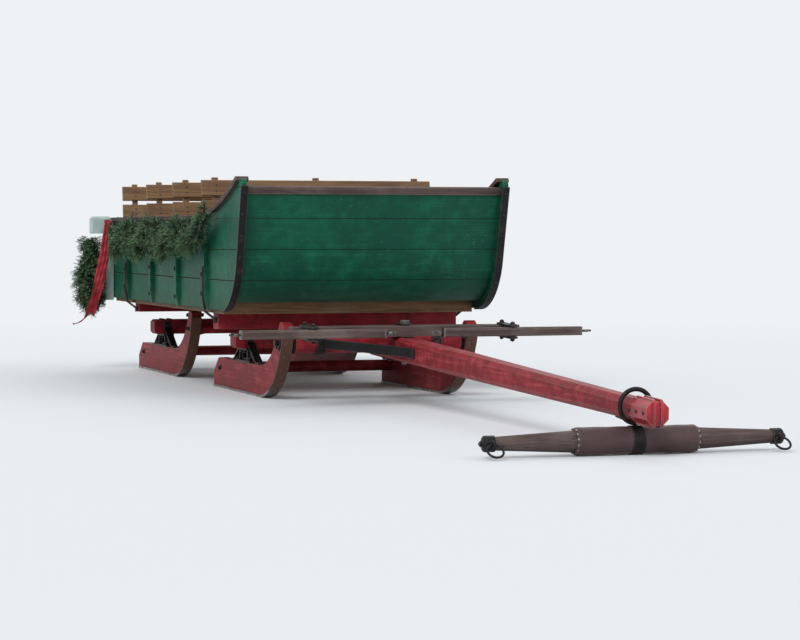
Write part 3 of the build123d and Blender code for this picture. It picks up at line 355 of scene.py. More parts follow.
def iron(name, body, bright, rust, gloss=0.48, rusty=0.5, metal=0.75):
    """Forged or cast iron: hammered, blackened, rubbed bright on its edges, rusting in patches."""
    finish = Finish(name)
    hammer = finish.blotch(55.0, 3.0, 0.55)
    grit = finish.blotch(420.0, 2.0, 0.6)
    patch = finish.blotch(9.0, 5.0, 0.7)
    rub = finish.edge(0.004)
    stain = finish.step(patch + grit * 0.25, 0.80 - 0.22 * rusty, 0.92)
    tint = finish.mix(hammer, body, darker(body, 0.42))
    tint = finish.mix(stain * 0.85, tint, rust)
    shine = finish.step(rub * 0.7 + hammer * 0.35, 0.5, 0.85)
    tint = finish.mix(shine * 0.7, tint, bright)
    # Painted shade: darker rust brown in the corners and under the laps
    tint = finish.with_painted_shade(tint, 0.03, 0.6, darker(rust, 0.35))
    return finish.coat(
        Base_Color=tint,
        Metallic=metal - stain * 0.6,
        Roughness=gloss + stain * 0.3 - shine * 0.14 + grit * 0.1,
        Normal=finish.relief(hammer * 0.7 + grit * 0.2 + stain * 0.25, 0.0011, 0.8, 0.0018),
    )


def worn_steel(name):
    """Runner shoes: polished where they run, scraped on the nose and browned higher up."""
    finish = Finish(name)
    drag = finish.noise(finish.place((260.0, 9.0, 9.0)), 1.0, 3.0, 0.6)
    patch = finish.blotch(14.0, 5.0, 0.7)
    speckle = finish.blotch(75.0, 3.0, 0.65)
    brown = finish.mix(patch * 0.7 + speckle * 0.3, colour(52, 42, 40), colour(112, 72, 50))
    steel = finish.mix(drag * 0.6 + patch * 0.4, colour(92, 90, 90), colour(178, 178, 180))
    height = finish.along(Z) + (drag - 0.5) * 0.16 + (patch - 0.5) * 0.14
    share = finish.step(height, -0.01, 0.05) * finish.step(speckle + drag * 0.4, 0.30, 0.62)
    return finish.coat(
        Base_Color=finish.mix(share, steel, brown),
        Metallic=0.95 - share * 0.65,
        Roughness=0.26 + share * 0.42 + drag * 0.1,
        Normal=finish.relief(speckle * 0.6 + drag * 0.4, 0.0010, 0.7, 0.0025),
    )


def chipped_steel(name):
    """The pole's steel hood: gloss red over pink primer, chipped to the metal at its edges."""
    finish = Finish(name)
    cloud = finish.blotch(12.0, 4.0, 0.6)
    chip = finish.blotch(46.0, 5.0, 0.7, 0.6)
    rub = finish.edge(0.004)
    coat = finish.mix(finish.step(cloud, 0.3, 0.7), colour(118, 12, 26), colour(188, 38, 50))
    loss = rub * 0.26 + chip * 0.85
    through = finish.step(loss, 0.595, 0.615)
    rim = finish.step(loss, 0.545, 0.59)
    body = finish.mix(rim, coat, colour(224, 150, 150))
    body = finish.mix(through, body, colour(142, 134, 130))
    # Painted shade: deep crimson in the recesses and under the laps
    body = finish.with_painted_shade(body, 0.022, 0.85, colour(52, 10, 16))
    return finish.coat(
        Base_Color=body,
        Specular_IOR_Level=0.35,
        Metallic=through * 0.8,
        Roughness=0.34 + through * 0.2 + cloud * 0.08,
        Coat_Weight=(1.0 - through) * 0.22,
        Coat_Roughness=0.12,
        Normal=finish.relief((1.0 - through) * 0.6 + cloud * 0.3, 0.0012, 0.7, 0.003),
    )


def fir(name, dark, light, tip):
    """Fir needles: each spray has its own green, and tips are paler than the heart."""
    finish = Finish(name)
    shade, reach = finish.stored("shade"), finish.stored("reach")
    speck = finish.blotch(90.0, 2.0, 0.6)
    green = finish.mix(shade * 0.75 + speck * 0.25, dark, light)
    green = finish.mix(finish.step(reach, 0.35, 1.0) * (0.30 + speck * 0.55), green, tip)
    # Painted shade: needles darken deep between the sprays
    green = finish.with_painted_shade(green, 0.045, 0.62, darker(dark, 0.35))
    return finish.coat(Base_Color=green, Roughness=0.55 + speck * 0.2, Specular_IOR_Level=0.35)


def bark(name, dark, light):
    """Rough bark or a tangle of twigs."""
    finish = Finish(name)
    flake = finish.blotch(160.0, 4.0, 0.7)
    return finish.coat(
        Base_Color=finish.mix(flake, dark, light),
        Specular_IOR_Level=0.2,
        Roughness=0.8 + flake * 0.1,
        Normal=finish.relief(flake, 0.001, 0.8),
    )


def leather(name, deep, light):
    """Old oiled leather: creased across, greased dark, rubbed paler on its high places."""
    finish = Finish(name)
    crease = finish.noise(finish.place((95.0, 26.0, 26.0)), 1.0, 4.0, 0.6, 1.2)
    pores = finish.blotch(480.0, 2.0, 0.6)
    patch = finish.blotch(11.0, 4.0, 0.6)
    scrape = finish.noise(finish.place((7.0, 120.0, 120.0)), 1.0, 3.0, 0.6)
    rub = finish.edge(0.004)
    tint = finish.mix(patch * 0.6 + crease * 0.4, deep, light)
    worn = finish.step(rub * 0.5 + scrape * 0.8, 0.48, 0.72)
    tint = finish.mix(worn * 0.45, tint, colour(134, 112, 108))
    # Painted shade: the leather darkens in its hollows and under the laps
    tint = finish.with_painted_shade(tint, 0.02, 0.7, darker(deep, 0.4))
    return finish.coat(
        Base_Color=tint,
        Specular_IOR_Level=0.4,
        Roughness=0.50 + crease * 0.16 - worn * 0.08,
        Normal=finish.relief(crease * 0.8 + pores * 0.15 + scrape * 0.2, 0.0014, 0.8, 0.0015),
    )


def satin(name, deep, light):
    """Woven ribbon: fine ribs across, crush marks and a soft sheen."""
    finish = Finish(name)
    chart = finish.node("ShaderNodeUVMap", {"uv_map": "UVMap"})
    ribs = (finish.part(chart, X) * 520.0).wave()
    threads = (finish.part(chart, Y) * 120.0).wave()
    cloud = finish.blotch(22.0, 4.0, 0.65)
    crush = finish.blotch(85.0, 4.0, 0.7, 0.8)
    weave = ribs * 0.6 + threads * 0.4
    tint = finish.mix(weave * 0.25 + cloud * 0.45 + crush * 0.45, deep, light)
    # Painted shade: the ribbon darkens in its folds and under the laps
    tint = finish.with_painted_shade(tint, 0.012, 0.5, darker(deep, 0.5))
    return finish.coat(
        Base_Color=tint,
        Roughness=0.46 + weave * 0.12 + crush * 0.16,
        Specular_IOR_Level=0.4,
        Sheen_Weight=0.3,
        Sheen_Roughness=0.4,
        Normal=finish.relief(crush + weave * 0.25, 0.0011, 0.8, 0.0004),
    )


def tints(**screen_colours):
    """Shader colours by name from screen colours by name."""
    return {name: colour(*value) for name, value in screen_colours.items()}


GREEN = tints(paint=(4, 98, 70), deep=(3, 72, 54), faded=(48, 128, 102), under=(150, 132, 106))
RED = tints(paint=(146, 26, 38), deep=(112, 18, 28), faded=(176, 70, 76), under=(158, 128, 106))
PALE = tints(
    paint=(196, 214, 206), deep=(160, 186, 178), faded=(224, 232, 226), under=(150, 142, 122)
)
OILED = tints(dark=(86, 62, 42), light=(146, 112, 80), worn=(168, 148, 122))
GREY = tints(dark=(54, 42, 40), light=(94, 76, 70), worn=(136, 120, 112))
BLACK_IRON = tints(body=(44, 43, 45), bright=(128, 126, 126), rust=(98, 58, 38))
RUBBED_STEEL = tints(body=(112, 110, 110), bright=(190, 188, 186), rust=(112, 74, 50))
GREEN_BOARDS = {**GREEN, "boards": (Z, SIDE_LOW, GROOVE_PITCH), "seams": True}
LOW_RED = {**RED, "splash": (0.0, 0.17)}
FLOOR_BOARDS = (X, -BOX_HALF - 0.002, BOARD_PITCH)

finishes = {
    "green_length": painted("green paint, grain lengthwise", axis=Y, **GREEN_BOARDS),
    "green_across": painted("green paint, grain across", axis=X, **GREEN_BOARDS),
    "green_panel": painted("green paint on the bent dash", axis=X, wear=0.6, **GREEN_BOARDS),
    "green_upright": painted("green paint, grain upright", axis=Z, **GREEN),
    "red_length": painted(
        "red paint, grain lengthwise", axis=Y, wear=0.60, mottled=0.75, streaked=0.6, **LOW_RED
    ),
    "red_across": painted("red paint, grain across", axis=X, wear=0.58, mottled=0.7, **LOW_RED),
    "oiled_length": timber("oiled boards, lengthwise", axis=Y, boards=FLOOR_BOARDS, **OILED),
    "oiled_across": timber("oiled boards, across", axis=X, **OILED),
    "oiled_upright": timber("oiled boards, upright", axis=Z, **OILED),
    "weathered_length": timber("weathered rail, lengthwise", axis=Y, wear=0.55, **GREY),
    "weathered_across": timber("weathered bar, across", axis=X, wear=0.55, **GREY),
    "pale": painted("pale paint on the corner posts", axis=Z, gloss=0.42, wear=0.46, **PALE),
    "iron": iron("blackened iron", **BLACK_IRON),
    "bright": iron("rubbed steel fittings", gloss=0.34, rusty=0.3, metal=0.9, **RUBBED_STEEL),
    "shoes": worn_steel("steel shoes"),
    "hood": chipped_steel("red steel hood"),
    "fir": fir("fir needles", colour(14, 42, 28), colour(48, 94, 60), colour(122, 152, 108)),
    # The fir's core: near-black, painted shade deep inside the fir
    "heart": bark("shaded heart of the fir", colour(8, 18, 12), colour(20, 34, 22)),
    "bark": bark("fir twigs", colour(52, 38, 28), colour(104, 82, 60)),
    "ribbon": satin("red ribbon", colour(112, 12, 24), colour(186, 44, 56)),
    "leather": leather("greased leather", colour(46, 32, 34), colour(92, 68, 68)),
    "thread": bark("waxed thread", colour(128, 112, 92), colour(176, 160, 134)),
}

NODE_FINISHES = {
    "green_length": ("side_left", "side_right"),
    "green_across": ("tail_board",),
    "green_panel": ("dash_panel",),
    "green_upright": ("side_stakes",),
    "red_length": ("front_runners", "rear_runners", "pole"),
    "red_across": (
        "front_bolster", "rear_bolster", "front_bunk", "rear_bunk",
        "front_cross_bars", "rear_cross_bars", "roller",
    ),
    "oiled_length": ("floor_boards",),
    "oiled_across": ("floor_sills", "foot_rest", "bench_planks", "back_slats"),
    "oiled_upright": ("bench_risers", "back_posts"),
    "weathered_length": ("top_rails",),
    "weathered_across": (
        "dash_rail", "neck_yoke", "evener", "singletree_left", "singletree_right",
    ),
    "pale": ("corner_posts",),
    "iron": (
        "box_irons", "dash_irons", "bolster_plate", "king_pin", "rocker_hangers", "rocker_pins",
        "front_knees", "rear_knees", "front_braces", "rear_braces", "bunk_plate", "eye_plates",
        "rear_ears", "pole_irons", "gudgeons", "evener_irons", "yoke_irons", "yoke_ends",
        "yoke_end_rings",
    ),
    "bright": ("evener_pin", "tree_hooks_left", "tree_hooks_right"),
    "shoes": ("front_shoes", "rear_shoes"),
    "hood": ("pole_cap",),
}
for finish_name, node_names in NODE_FINISHES.items():
    for node_name in node_names:
        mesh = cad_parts[node_name].data
        mesh.materials.clear()
        mesh.materials.append(finishes[finish_name])


# Workshop


def put_down():
    """Leaves edit mode with nothing selected."""
    if bpy.context.mode != "OBJECT":
        bpy.ops.object.mode_set(mode="OBJECT")
    bpy.ops.object.select_all(action="DESELECT")


def take_up(*pieces):
    """Selects only these pieces, with the first one active."""
    put_down()
    for piece in pieces:
        piece.select_set(True)
    bpy.context.view_layer.objects.active = pieces[0]


def mesh_of(name, points, faces):
    """A mesh of these points, with faces that list their corners."""
    mesh = bpy.data.meshes.new(name)
    mesh.from_pydata(points, [], faces)
    return mesh


def in_scene(name, data):
    """A new piece of this mesh or curve."""
    piece = bpy.data.objects.new(name, data)
    bpy.context.scene.collection.objects.link(piece)
    return piece


def settle(piece):
    """Puts the piece's place into its mesh."""
    take_up(piece)
    bpy.ops.object.transform_apply(location=True, rotation=True, scale=True)
    put_down()
    return piece


def edit_faces(piece, chosen):
    """Opens the piece in edit mode with only the faces for which chosen(normal) holds."""
    take_up(piece)
    bpy.ops.object.mode_set(mode="EDIT")
    bpy.ops.mesh.select_mode(type="FACE")
    bpy.ops.mesh.select_all(action="DESELECT")
    bpy.ops.object.mode_set(mode="OBJECT")
    for face in piece.data.polygons:
        face.select = bool(chosen(face.normal))
    bpy.ops.object.mode_set(mode="EDIT")


def smooth(piece, degrees):
    """Shades it smooth across all but its sharper edges."""
    take_up(piece)
    bpy.ops.object.shade_smooth_by_angle(angle=math.radians(degrees))
    put_down()
    return piece


def joined(pieces):
    """One piece of them all, under the first one's name."""
    take_up(*pieces)
    bpy.ops.object.join()
    put_down()
    return pieces[0]


def worked(piece, kind, **settings):
    """Gives the piece a modifier and applies it."""
    take_up(piece)
    modifier = piece.modifiers.new("work", kind)
    for name, value in settings.items():
        setattr(modifier, name, value)
    bpy.ops.object.modifier_apply(modifier=modifier.name)
    put_down()


def smooth_line(name, points, order, resolution):
    """A curve with these points as its control points."""
    line = bpy.data.curves.new(name, "CURVE")
    line.dimensions = "3D"
    line.resolution_u = resolution
    spline = line.splines.new("NURBS")
    spline.points.add(len(points) - 1)
    for place, point in zip(spline.points, points):
        place.co = (*point[:3], 1)
    spline.use_endpoint_u = True
    spline.order_u = order
    return in_scene(name, line)


def turned_to(normal, roll=0.0):
    """The turn that brings a model's up to this direction."""
    up = Vector(normal).normalized()
    return up.to_track_quat("Z", "Y").to_matrix().to_4x4() @ Matrix.Rotation(roll, 4, "Z")


def repeat(name, models, places, finish_names, body):
    """One mesh of all the copies. places are (model's number, matrix); each copy has a shade."""
    shapes = []
    for model in models:
        mesh = model.data
        points = np.empty(len(mesh.vertices) * 3)
        mesh.vertices.foreach_get("co", points)
        heights = np.ones(len(mesh.vertices))
        reach = mesh.attributes.get("reach")
        if reach is not None:
            reach.data.foreach_get("value", heights)
        faces = [(tuple(face.vertices), face.material_index, face.use_smooth) for face in mesh.polygons]
        shapes.append((points.reshape(-1, 3), heights, faces))
    points, corners, marks, smooths, shades, reaches = [], [], [], [], [], []
    first = 0
    for number, matrix in places:
        spots, heights, faces = shapes[number]
        turn = np.array(matrix)
        points.append(spots @ turn[:3, :3].T + turn[:3, 3])
        for face, mark, is_smooth in faces:
            corners.append(tuple(first + corner for corner in face))
            marks.append(mark)
            smooths.append(is_smooth)
        shades.append(np.full(len(spots), draws.random()))
        reaches.append(heights)
        first += len(spots)
    mesh = mesh_of(name, np.concatenate(points).tolist(), corners)
    mesh.polygons.foreach_set("material_index", marks)
    mesh.polygons.foreach_set("use_smooth", smooths)
    for label, values in (("shade", shades), ("reach", reaches)):
        mesh.attributes.new(label, "FLOAT", "POINT").data.foreach_set(
            "value", np.concatenate(values).astype(np.float32)
        )
    for finish_name in finish_names:
        mesh.materials.append(finishes[finish_name])
    piece = in_scene(name, mesh)
    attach(piece, body)
    return piece


def head(corners, radius, depth, rings, low=0.0):
    """A disc whose top is drawn in and raised by rings of (inset, rise); its foot is at low."""
    put_down()
    bpy.ops.mesh.primitive_cylinder_add(
        vertices=corners, radius=radius, depth=depth, location=(0, 0, low + depth / 2)
    )
    disc = settle(bpy.context.object)
    edit_faces(disc, lambda normal: normal.z > 0.9)
    for inset, rise in rings:
        bpy.ops.mesh.inset(thickness=inset)
        bpy.ops.transform.translate(value=(0, 0, rise))
    put_down()
    return disc


def dome_head(radius, height):
    """A carriage bolt's domed head, its foot at the origin."""
    rings = [
        (radius * inset, height * rise) for inset, rise in ((0.18, 0.35), (0.26, 0.2), (0.3, 0.05))
    ]
    return smooth(head(14, radius, height * 0.4, rings), 60)


def hex_nut():
    """A washer, a nut with eased corners and the bolt's end through it."""
    washer, nut, depth = 0.0022, 0.009, 0.004
    return smooth(
        joined(
            [
                head(corners, size, deep, [(size * 0.12, min(deep, size) * 0.14)], low)
                for corners, size, low, deep in (
                    (18, 0.017, 0.0, washer),
                    (6, 0.011, washer, nut),
                    (10, 0.0055, washer + nut, depth),
                )
            ]
        ),
        30,
    )


def nail_head():
    """A nail's low head, its foot at the origin."""
    return smooth(head(10, 0.0055, 0.001, [(0.0055 * 0.35, 0.0006)]), 60)


def discard(*models):
    """Takes the models away once their copies are made."""
    for model in models:
        bpy.data.objects.remove(model)


# Bolts, nuts and nails


def pole_place(side, station, rise):
    """A point on the pole: sideways, along it from the roller, and upwards from its middle."""
    return Vector(
        (
            side,
            ROLLER_Y - station * math.cos(POLE_SLOPE) - rise * math.sin(POLE_SLOPE),
            ROLLER_Z - station * math.sin(POLE_SLOPE) + rise * math.cos(POLE_SLOPE),
        )
    )


POLE_UP = pole_place(0, 0, 1) - pole_place(0, 0, 0)


def fastened(model, rows):
    """Places for one model from rows of (point, direction that its head faces)."""
    return [
        (model, Matrix.Translation(point) @ turned_to(facing, draws.uniform(0, math.tau)))
        for point, facing in rows
    ]


def mirrored(rows):
    """The rows and their mirror images across the sleigh."""
    return [
        (Vector(point) * flip, Vector(facing) * flip)
        for flip in (Vector((1, 1, 1)), Vector((-1, 1, 1)))
        for point, facing in rows
    ]


heads = [dome_head(0.0115, 0.006), hex_nut(), nail_head(), dome_head(0.0075, 0.0035)]
DOME, NUT, NAIL, SCREW = 0, 1, 2, 3


def fittings(name, body, domes=(), nuts=(), screws=(), nails=()):
    """All of a body's black bolts, nuts, screws and nails as one piece."""
    kinds = ((DOME, domes), (NUT, nuts), (SCREW, screws), (NAIL, nails))
    places = [place for kind, rows in kinds for place in fastened(kind, rows)]
    repeat(name, heads, places, ["iron"], body)


STAKE_FACE, STRAP_FACE = 0.720, 0.728
STRAP_TOP = 0.66
STRAPPED_BOLTS, PLAIN_BOLTS = (0.52, 0.62, 0.80), (0.49, 0.64, 0.80)
BOLSTER_END, BOLSTER_BOLT_Z = 0.658, 0.377
box_domes = []
for row in range(4):
    strapped = row in (0, 3)
    stake_y = KING_Y + (ROCKER_Y - KING_Y) / 3 * row
    for height in STRAPPED_BOLTS if strapped else PLAIN_BOLTS:
        face = STRAP_FACE if strapped and height < STRAP_TOP else STAKE_FACE
        box_domes.append(((face, stake_y, height), OUT))
box_domes += [((BOLSTER_END, strap_y, BOLSTER_BOLT_Z), OUT) for strap_y in (KING_Y, ROCKER_Y)]

EDGE_MIDDLE = BOX_HALF + SIDE_THICK / 2
BEND_MIDDLE = Vector((EDGE_MIDDLE, 0.482, 0.780))
BEND_RADIUS = 0.3463
BEND_BOLTS, DASH_BOLTS = (10, 32, 54), (0.02, 0.13, 0.24, 0.35)
DASH_TURN = math.radians(75)


def bend_facing(turn):
    """The way the dash's edge iron faces, this far round its bend from straight down."""
    return Vector((0, -math.sin(turn), -math.cos(turn)))


dash_facing = bend_facing(DASH_TURN)
dash_up = Vector((0, -math.cos(DASH_TURN), math.sin(DASH_TURN)))
dash_screws = [
    (BEND_MIDDLE + facing * BEND_RADIUS, facing)
    for facing in (bend_facing(math.radians(degrees)) for degrees in BEND_BOLTS)
]
dash_screws += [
    (BEND_MIDDLE + dash_facing * BEND_RADIUS + dash_up * reach, dash_facing)
    for reach in DASH_BOLTS
]

RAIL_TOP, RAIL_START, RAIL_PITCH = 0.9273, 1.10, 0.29
rail_screws = [
    ((EDGE_MIDDLE, RAIL_START + RAIL_PITCH * number, RAIL_TOP), UP) for number in range(8)
]
PLANK_MIDDLE, PLANK_SCREW = 0.089, 0.032
plank_screws = [
    ((riser_x, bench_y + plank + screw, BENCH_TOP), UP)
    for bench_y in BENCH_ROWS
    for plank in (-PLANK_MIDDLE, PLANK_MIDDLE)
    for screw in (-PLANK_SCREW, PLANK_SCREW)
    for riser_x in RISER_ROWS
]
BACK_LEAN = math.radians(7)
BACK_BEHIND, SLAT_FACE = 0.175, 0.018
SLAT_SCREWS = (0.068, 0.098, 0.178, 0.208)
slat_out = Vector((0, -math.cos(BACK_LEAN), math.sin(BACK_LEAN)))
slat_up = Vector((0, math.sin(BACK_LEAN), math.cos(BACK_LEAN)))
slat_screws = [
    (
        Vector((riser_x, bench_y + BACK_BEHIND, BENCH_TOP)) + slat_up * high + slat_out * SLAT_FACE,
        slat_out,
    )
    for bench_y in BENCH_ROWS
    for high in SLAT_SCREWS
    for riser_x in RISER_ROWS
]
NAIL_SIDE = 0.055
SILL_ROWS = (0.562, 1.8945, 3.227)
floor_nails = [
    ((-BOX_HALF + BOARD_WIDTH / 2 + board * BOARD_PITCH + step, sill_y, FLOOR_TOP), UP)
    for board in range(8)
    for step in (-NAIL_SIDE, NAIL_SIDE)
    for sill_y in SILL_ROWS
]
TAIL_BACK = 3.282
TAIL_COLUMNS, TAIL_ROWS = (-0.645, -0.61, 0, 0.61, 0.645), (0.50, 0.66, 0.82)
tail_nails = [
    ((nail_x, TAIL_BACK, nail_z), AFT) for nail_x in TAIL_COLUMNS for nail_z in TAIL_ROWS
]

fittings(
    "box_fittings",
    "sleigh_box",
    domes=mirrored(box_domes),
    screws=mirrored(dash_screws + rail_screws),
    nails=plank_screws + slat_screws + floor_nails + tail_nails,
)

PIN_AHEAD = 0.7079
BAR_BEHIND, BAR_Z = 0.490, 0.107
BUNK_FACE, BUNK_BOLT_Z = 0.063, 0.288
BRACE_AHEAD, BRACE_END_X, BRACE_END_Z = 0.262, 0.205, 0.252
KNEE_THICK, STRAP_THICK = 0.009, 0.008
KNEE_SIDE, KNEE_FOOT, KNEE_HEAD = 0.022, 0.115, 0.033
BRACE_BEHIND_PIN = 0.10
EYE_FACES = ((0.511, OUT), (0.449, IN))
EYE_BOLT_CIRCLE = 0.030

for bob, bob_y in (("front", KING_Y), ("rear", ROCKER_Y)):
    pin_y = bob_y - PIN_AHEAD
    nuts, domes = [], []
    # The knees' feet on the runners and their heads under the bunk
    for bolt_x in (GAUGE_HALF - KNEE_SIDE, GAUGE_HALF + KNEE_SIDE):
        for step in (-KNEE_FOOT, KNEE_FOOT):
            nuts.append(((bolt_x, bob_y + step, RUNNER_TOP + KNEE_THICK), UP))
        for step in (-KNEE_HEAD, KNEE_HEAD):
            nuts.append(((bolt_x, bob_y + step, BUNK_LOW - KNEE_THICK), DOWN))
            domes.append(((bolt_x, bob_y + step, BUNK_HIGH), UP))
    # The straps from the bunk to the runners, and the long braces to their noses
    for way, facing in ((-1, FORE), (1, AFT)):
        domes.append(((GAUGE_HALF, bob_y + way * BUNK_FACE, BUNK_BOLT_Z), facing))
        domes.append(((GAUGE_HALF, bob_y + way * BRACE_AHEAD, RUNNER_TOP + STRAP_THICK), UP))
    domes.append(((BRACE_END_X, bob_y - BUNK_FACE, BRACE_END_Z), FORE))
    brace_face = GAUGE_HALF - RUNNER_THICK / 2 - STRAP_THICK
    domes.append(((brace_face, pin_y + BRACE_BEHIND_PIN, BRACE_END_Z), IN))
    # The cross bars' ends, and the front bob's eye plates
    nuts.append(((GAUGE_HALF + RUNNER_THICK / 2, bob_y + BAR_BEHIND, BAR_Z), OUT))
    if bob == "rear":
        nuts.append(((GAUGE_HALF + RUNNER_THICK / 2, pin_y, ROLLER_Z), OUT))
    else:
        for face, facing in EYE_FACES:
            for quarter in range(4):
                angle = math.radians(45 + 90 * quarter)
                offset = Vector((0, math.cos(angle), math.sin(angle))) * EYE_BOLT_CIRCLE
                domes.append((Vector((face, ROLLER_Y, ROLLER_Z)) + offset, facing))
    fittings(bob + "_bob_fittings", bob + "_bob", mirrored(domes), mirrored(nuts))

STRAP_STATIONS, POLE_STRAP_FACE = (0.13, 0.215), 0.0633
HOUND_STATIONS, HOUND_FACE = (0.675, 0.745), 0.062
BED_STATION, BED_TOP, POLE_HALF = 0.300, 0.061, 0.055
CAP_RIVETS = ((3.295, 0.0459), (3.360, 0.0456), (3.425, 0.0452))
pole_domes = [(pole_place(0, station, POLE_STRAP_FACE), POLE_UP) for station in STRAP_STATIONS]
pole_domes += [(pole_place(HOUND_FACE, station, 0), OUT) for station in HOUND_STATIONS]
pole_domes += [(pole_place(0, BED_STATION, BED_TOP), POLE_UP)]
pole_nuts = [(pole_place(0, station, -POLE_STRAP_FACE), -POLE_UP) for station in STRAP_STATIONS]
pole_nuts += [(pole_place(0, BED_STATION, -POLE_HALF), -POLE_UP)]
cap_rivets = [(pole_place(half, station, 0), OUT) for station, half in CAP_RIVETS]
fittings("pole_fittings", "draft_pole", mirrored(pole_domes), pole_nuts, mirrored(cap_rivets))

TREE_SIDE, LINK_TOP, LINK_FOOT = 0.500, 0.121, 0.055
LINK_STATIONS = (0.450, 0.600)
evener_nuts = []
for station in LINK_STATIONS:
    evener_nuts.append((pole_place(TREE_SIDE, station, LINK_TOP), POLE_UP))
    evener_nuts.append((pole_place(TREE_SIDE, station, LINK_FOOT), -POLE_UP))
fittings("evener_fittings", "evener_bar", nuts=mirrored(evener_nuts))

YOKE_LOW, YOKE_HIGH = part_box("neck_yoke")
YOKE_MIDDLE = (YOKE_LOW + YOKE_HIGH) / 2
YOKE_END = 0.610
fittings("yoke_fittings", "yoke_bar", nuts=mirrored([(YOKE_MIDDLE + OUT * YOKE_END, OUT)]))


# Neck yoke's leather sleeves

SLEEVE_START, SLEEVE_END = 0.0265, 0.250
SLEEVE_LONG = SLEEVE_END - SLEEVE_START
SLEEVE_RADIUS, SLEEVE_FOOT = 0.0527, 0.0432
SLEEVE_ROWS, SLEEVE_ROUND = 20, 56
HIDE_THICK = 0.0024
LAP_SIDE = math.radians(205)
LAP_TURN = 0.21
LAP_FROM, LAP_EASE, LAP_RISE = 0.955, 0.045 / 1.6, 0.0026
WRAP_TURN = math.tau + LAP_TURN
SEAM_TURN = LAP_SIDE + math.tau + 0.10
STITCH_PITCH, STITCHES_IN = 0.0068, 0.006
TACKS, TACKS_IN = 14, 0.0045
SNUG = 0.0002


def sleeve_radius(x):
    """Level over the thick of the yoke, drawn in at the far end and nailed down there."""
    draw_in = min(1.0, max(0.0, (SLEEVE_END - x) / 0.011))
    return SLEEVE_FOOT + (SLEEVE_RADIUS - SLEEVE_FOOT) * math.sin(draw_in * math.pi / 2)


def round_yoke(x, radius, angle):
    """A point round the yoke's middle line, from its top towards the rear."""
    return YOKE_MIDDLE + Vector((x, radius * math.sin(angle), radius * math.cos(angle)))


def sleeve(name, side):
    """Leather wrapped round the yoke, with a lapped seam below and a few soft wrinkles."""
    put_down()
    bpy.ops.mesh.primitive_grid_add(x_subdivisions=SLEEVE_ROWS, y_subdivisions=SLEEVE_ROUND, size=1)
    piece = bpy.context.object
    piece.name = name
    phase = draws.uniform(0, math.tau)
    for vertex in piece.data.vertices:
        along, turn = vertex.co.x + 0.5, vertex.co.y + 0.5
        x = SLEEVE_START + SLEEVE_LONG * along ** 0.72
        angle = LAP_SIDE + turn * WRAP_TURN
        ripple = 0.00045 * math.sin(71 * x + 3 * math.sin(angle + phase) + phase)
        swell = 0.0005 * math.sin(2 * angle + 19 * x + phase)
        loose = min(1.0, (SLEEVE_END - x) / 0.02)
        lap = min(1.0, max(0.0, (turn - LAP_FROM) / LAP_EASE))
        radius = sleeve_radius(x) + (ripple + swell) * loose + LAP_RISE * lap - SNUG
        vertex.co = round_yoke(x * side, radius, angle)
    piece.data.materials.append(finishes["leather"])
    if side < 0:
        edit_faces(piece, lambda normal: True)
        bpy.ops.mesh.flip_normals()
    worked(piece, "SOLIDIFY", thickness=HIDE_THICK, offset=-1.0)
    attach(piece, "yoke_bar")
    return smooth(piece, 40)


def stitch():
    """One stitch of waxed thread, lying along X with its ends sunk in."""
    put_down()
    bpy.ops.mesh.primitive_cylinder_add(
        vertices=6, radius=0.00075, depth=0.0046, rotation=(0, math.radians(90), 0)
    )
    thread = settle(bpy.context.object)
    for way in (1, -1):
        edit_faces(thread, lambda normal: normal.x * way > 0.9)
        bpy.ops.mesh.inset(thickness=0.0003)
        bpy.ops.transform.translate(value=(way * 0.0005, 0, -0.0006))
    put_down()
    return smooth(thread, 60)


for side_name, side in LEFT_AND_RIGHT:
    sleeve("yoke_leather_" + side_name, side)
thread = stitch()
seam_places, tacks = [], []
for side_name, side in LEFT_AND_RIGHT:
    for number in range(int((SLEEVE_LONG - 0.022) / STITCH_PITCH)):
        x = side * (SLEEVE_START + STITCHES_IN + number * STITCH_PITCH)
        point = round_yoke(x, SLEEVE_RADIUS + LAP_RISE, SEAM_TURN)
        seam_places.append((0, Matrix.Translation(point) @ Matrix.Rotation(-SEAM_TURN, 4, "X")))
    for number in range(TACKS):
        angle = math.tau * number / TACKS
        x = SLEEVE_END - TACKS_IN
        out = round_yoke(0, 1.0, angle) - round_yoke(0, 0.0, angle)
        tacks.append((round_yoke(side * x, sleeve_radius(x) + SNUG, angle), out))
repeat("yoke_stitches", [thread], seam_places, ["thread"], "yoke_bar")
repeat("yoke_tacks", heads, fastened(NAIL, tacks), ["bright"], "yoke_bar")
discard(*heads, thread)


# Fir garlands


NEEDLE_STEP = 0.0062
NEEDLE_SIZE = (0.0019, 0.0145, 1)
NEEDLE_FOOT = 0.0095
NEEDLE_PITCHES = (28, 52)
TWIG_FOOT, TWIG_TIP, TWIG_LEAN = 0.0016, 0.0006, 0.85


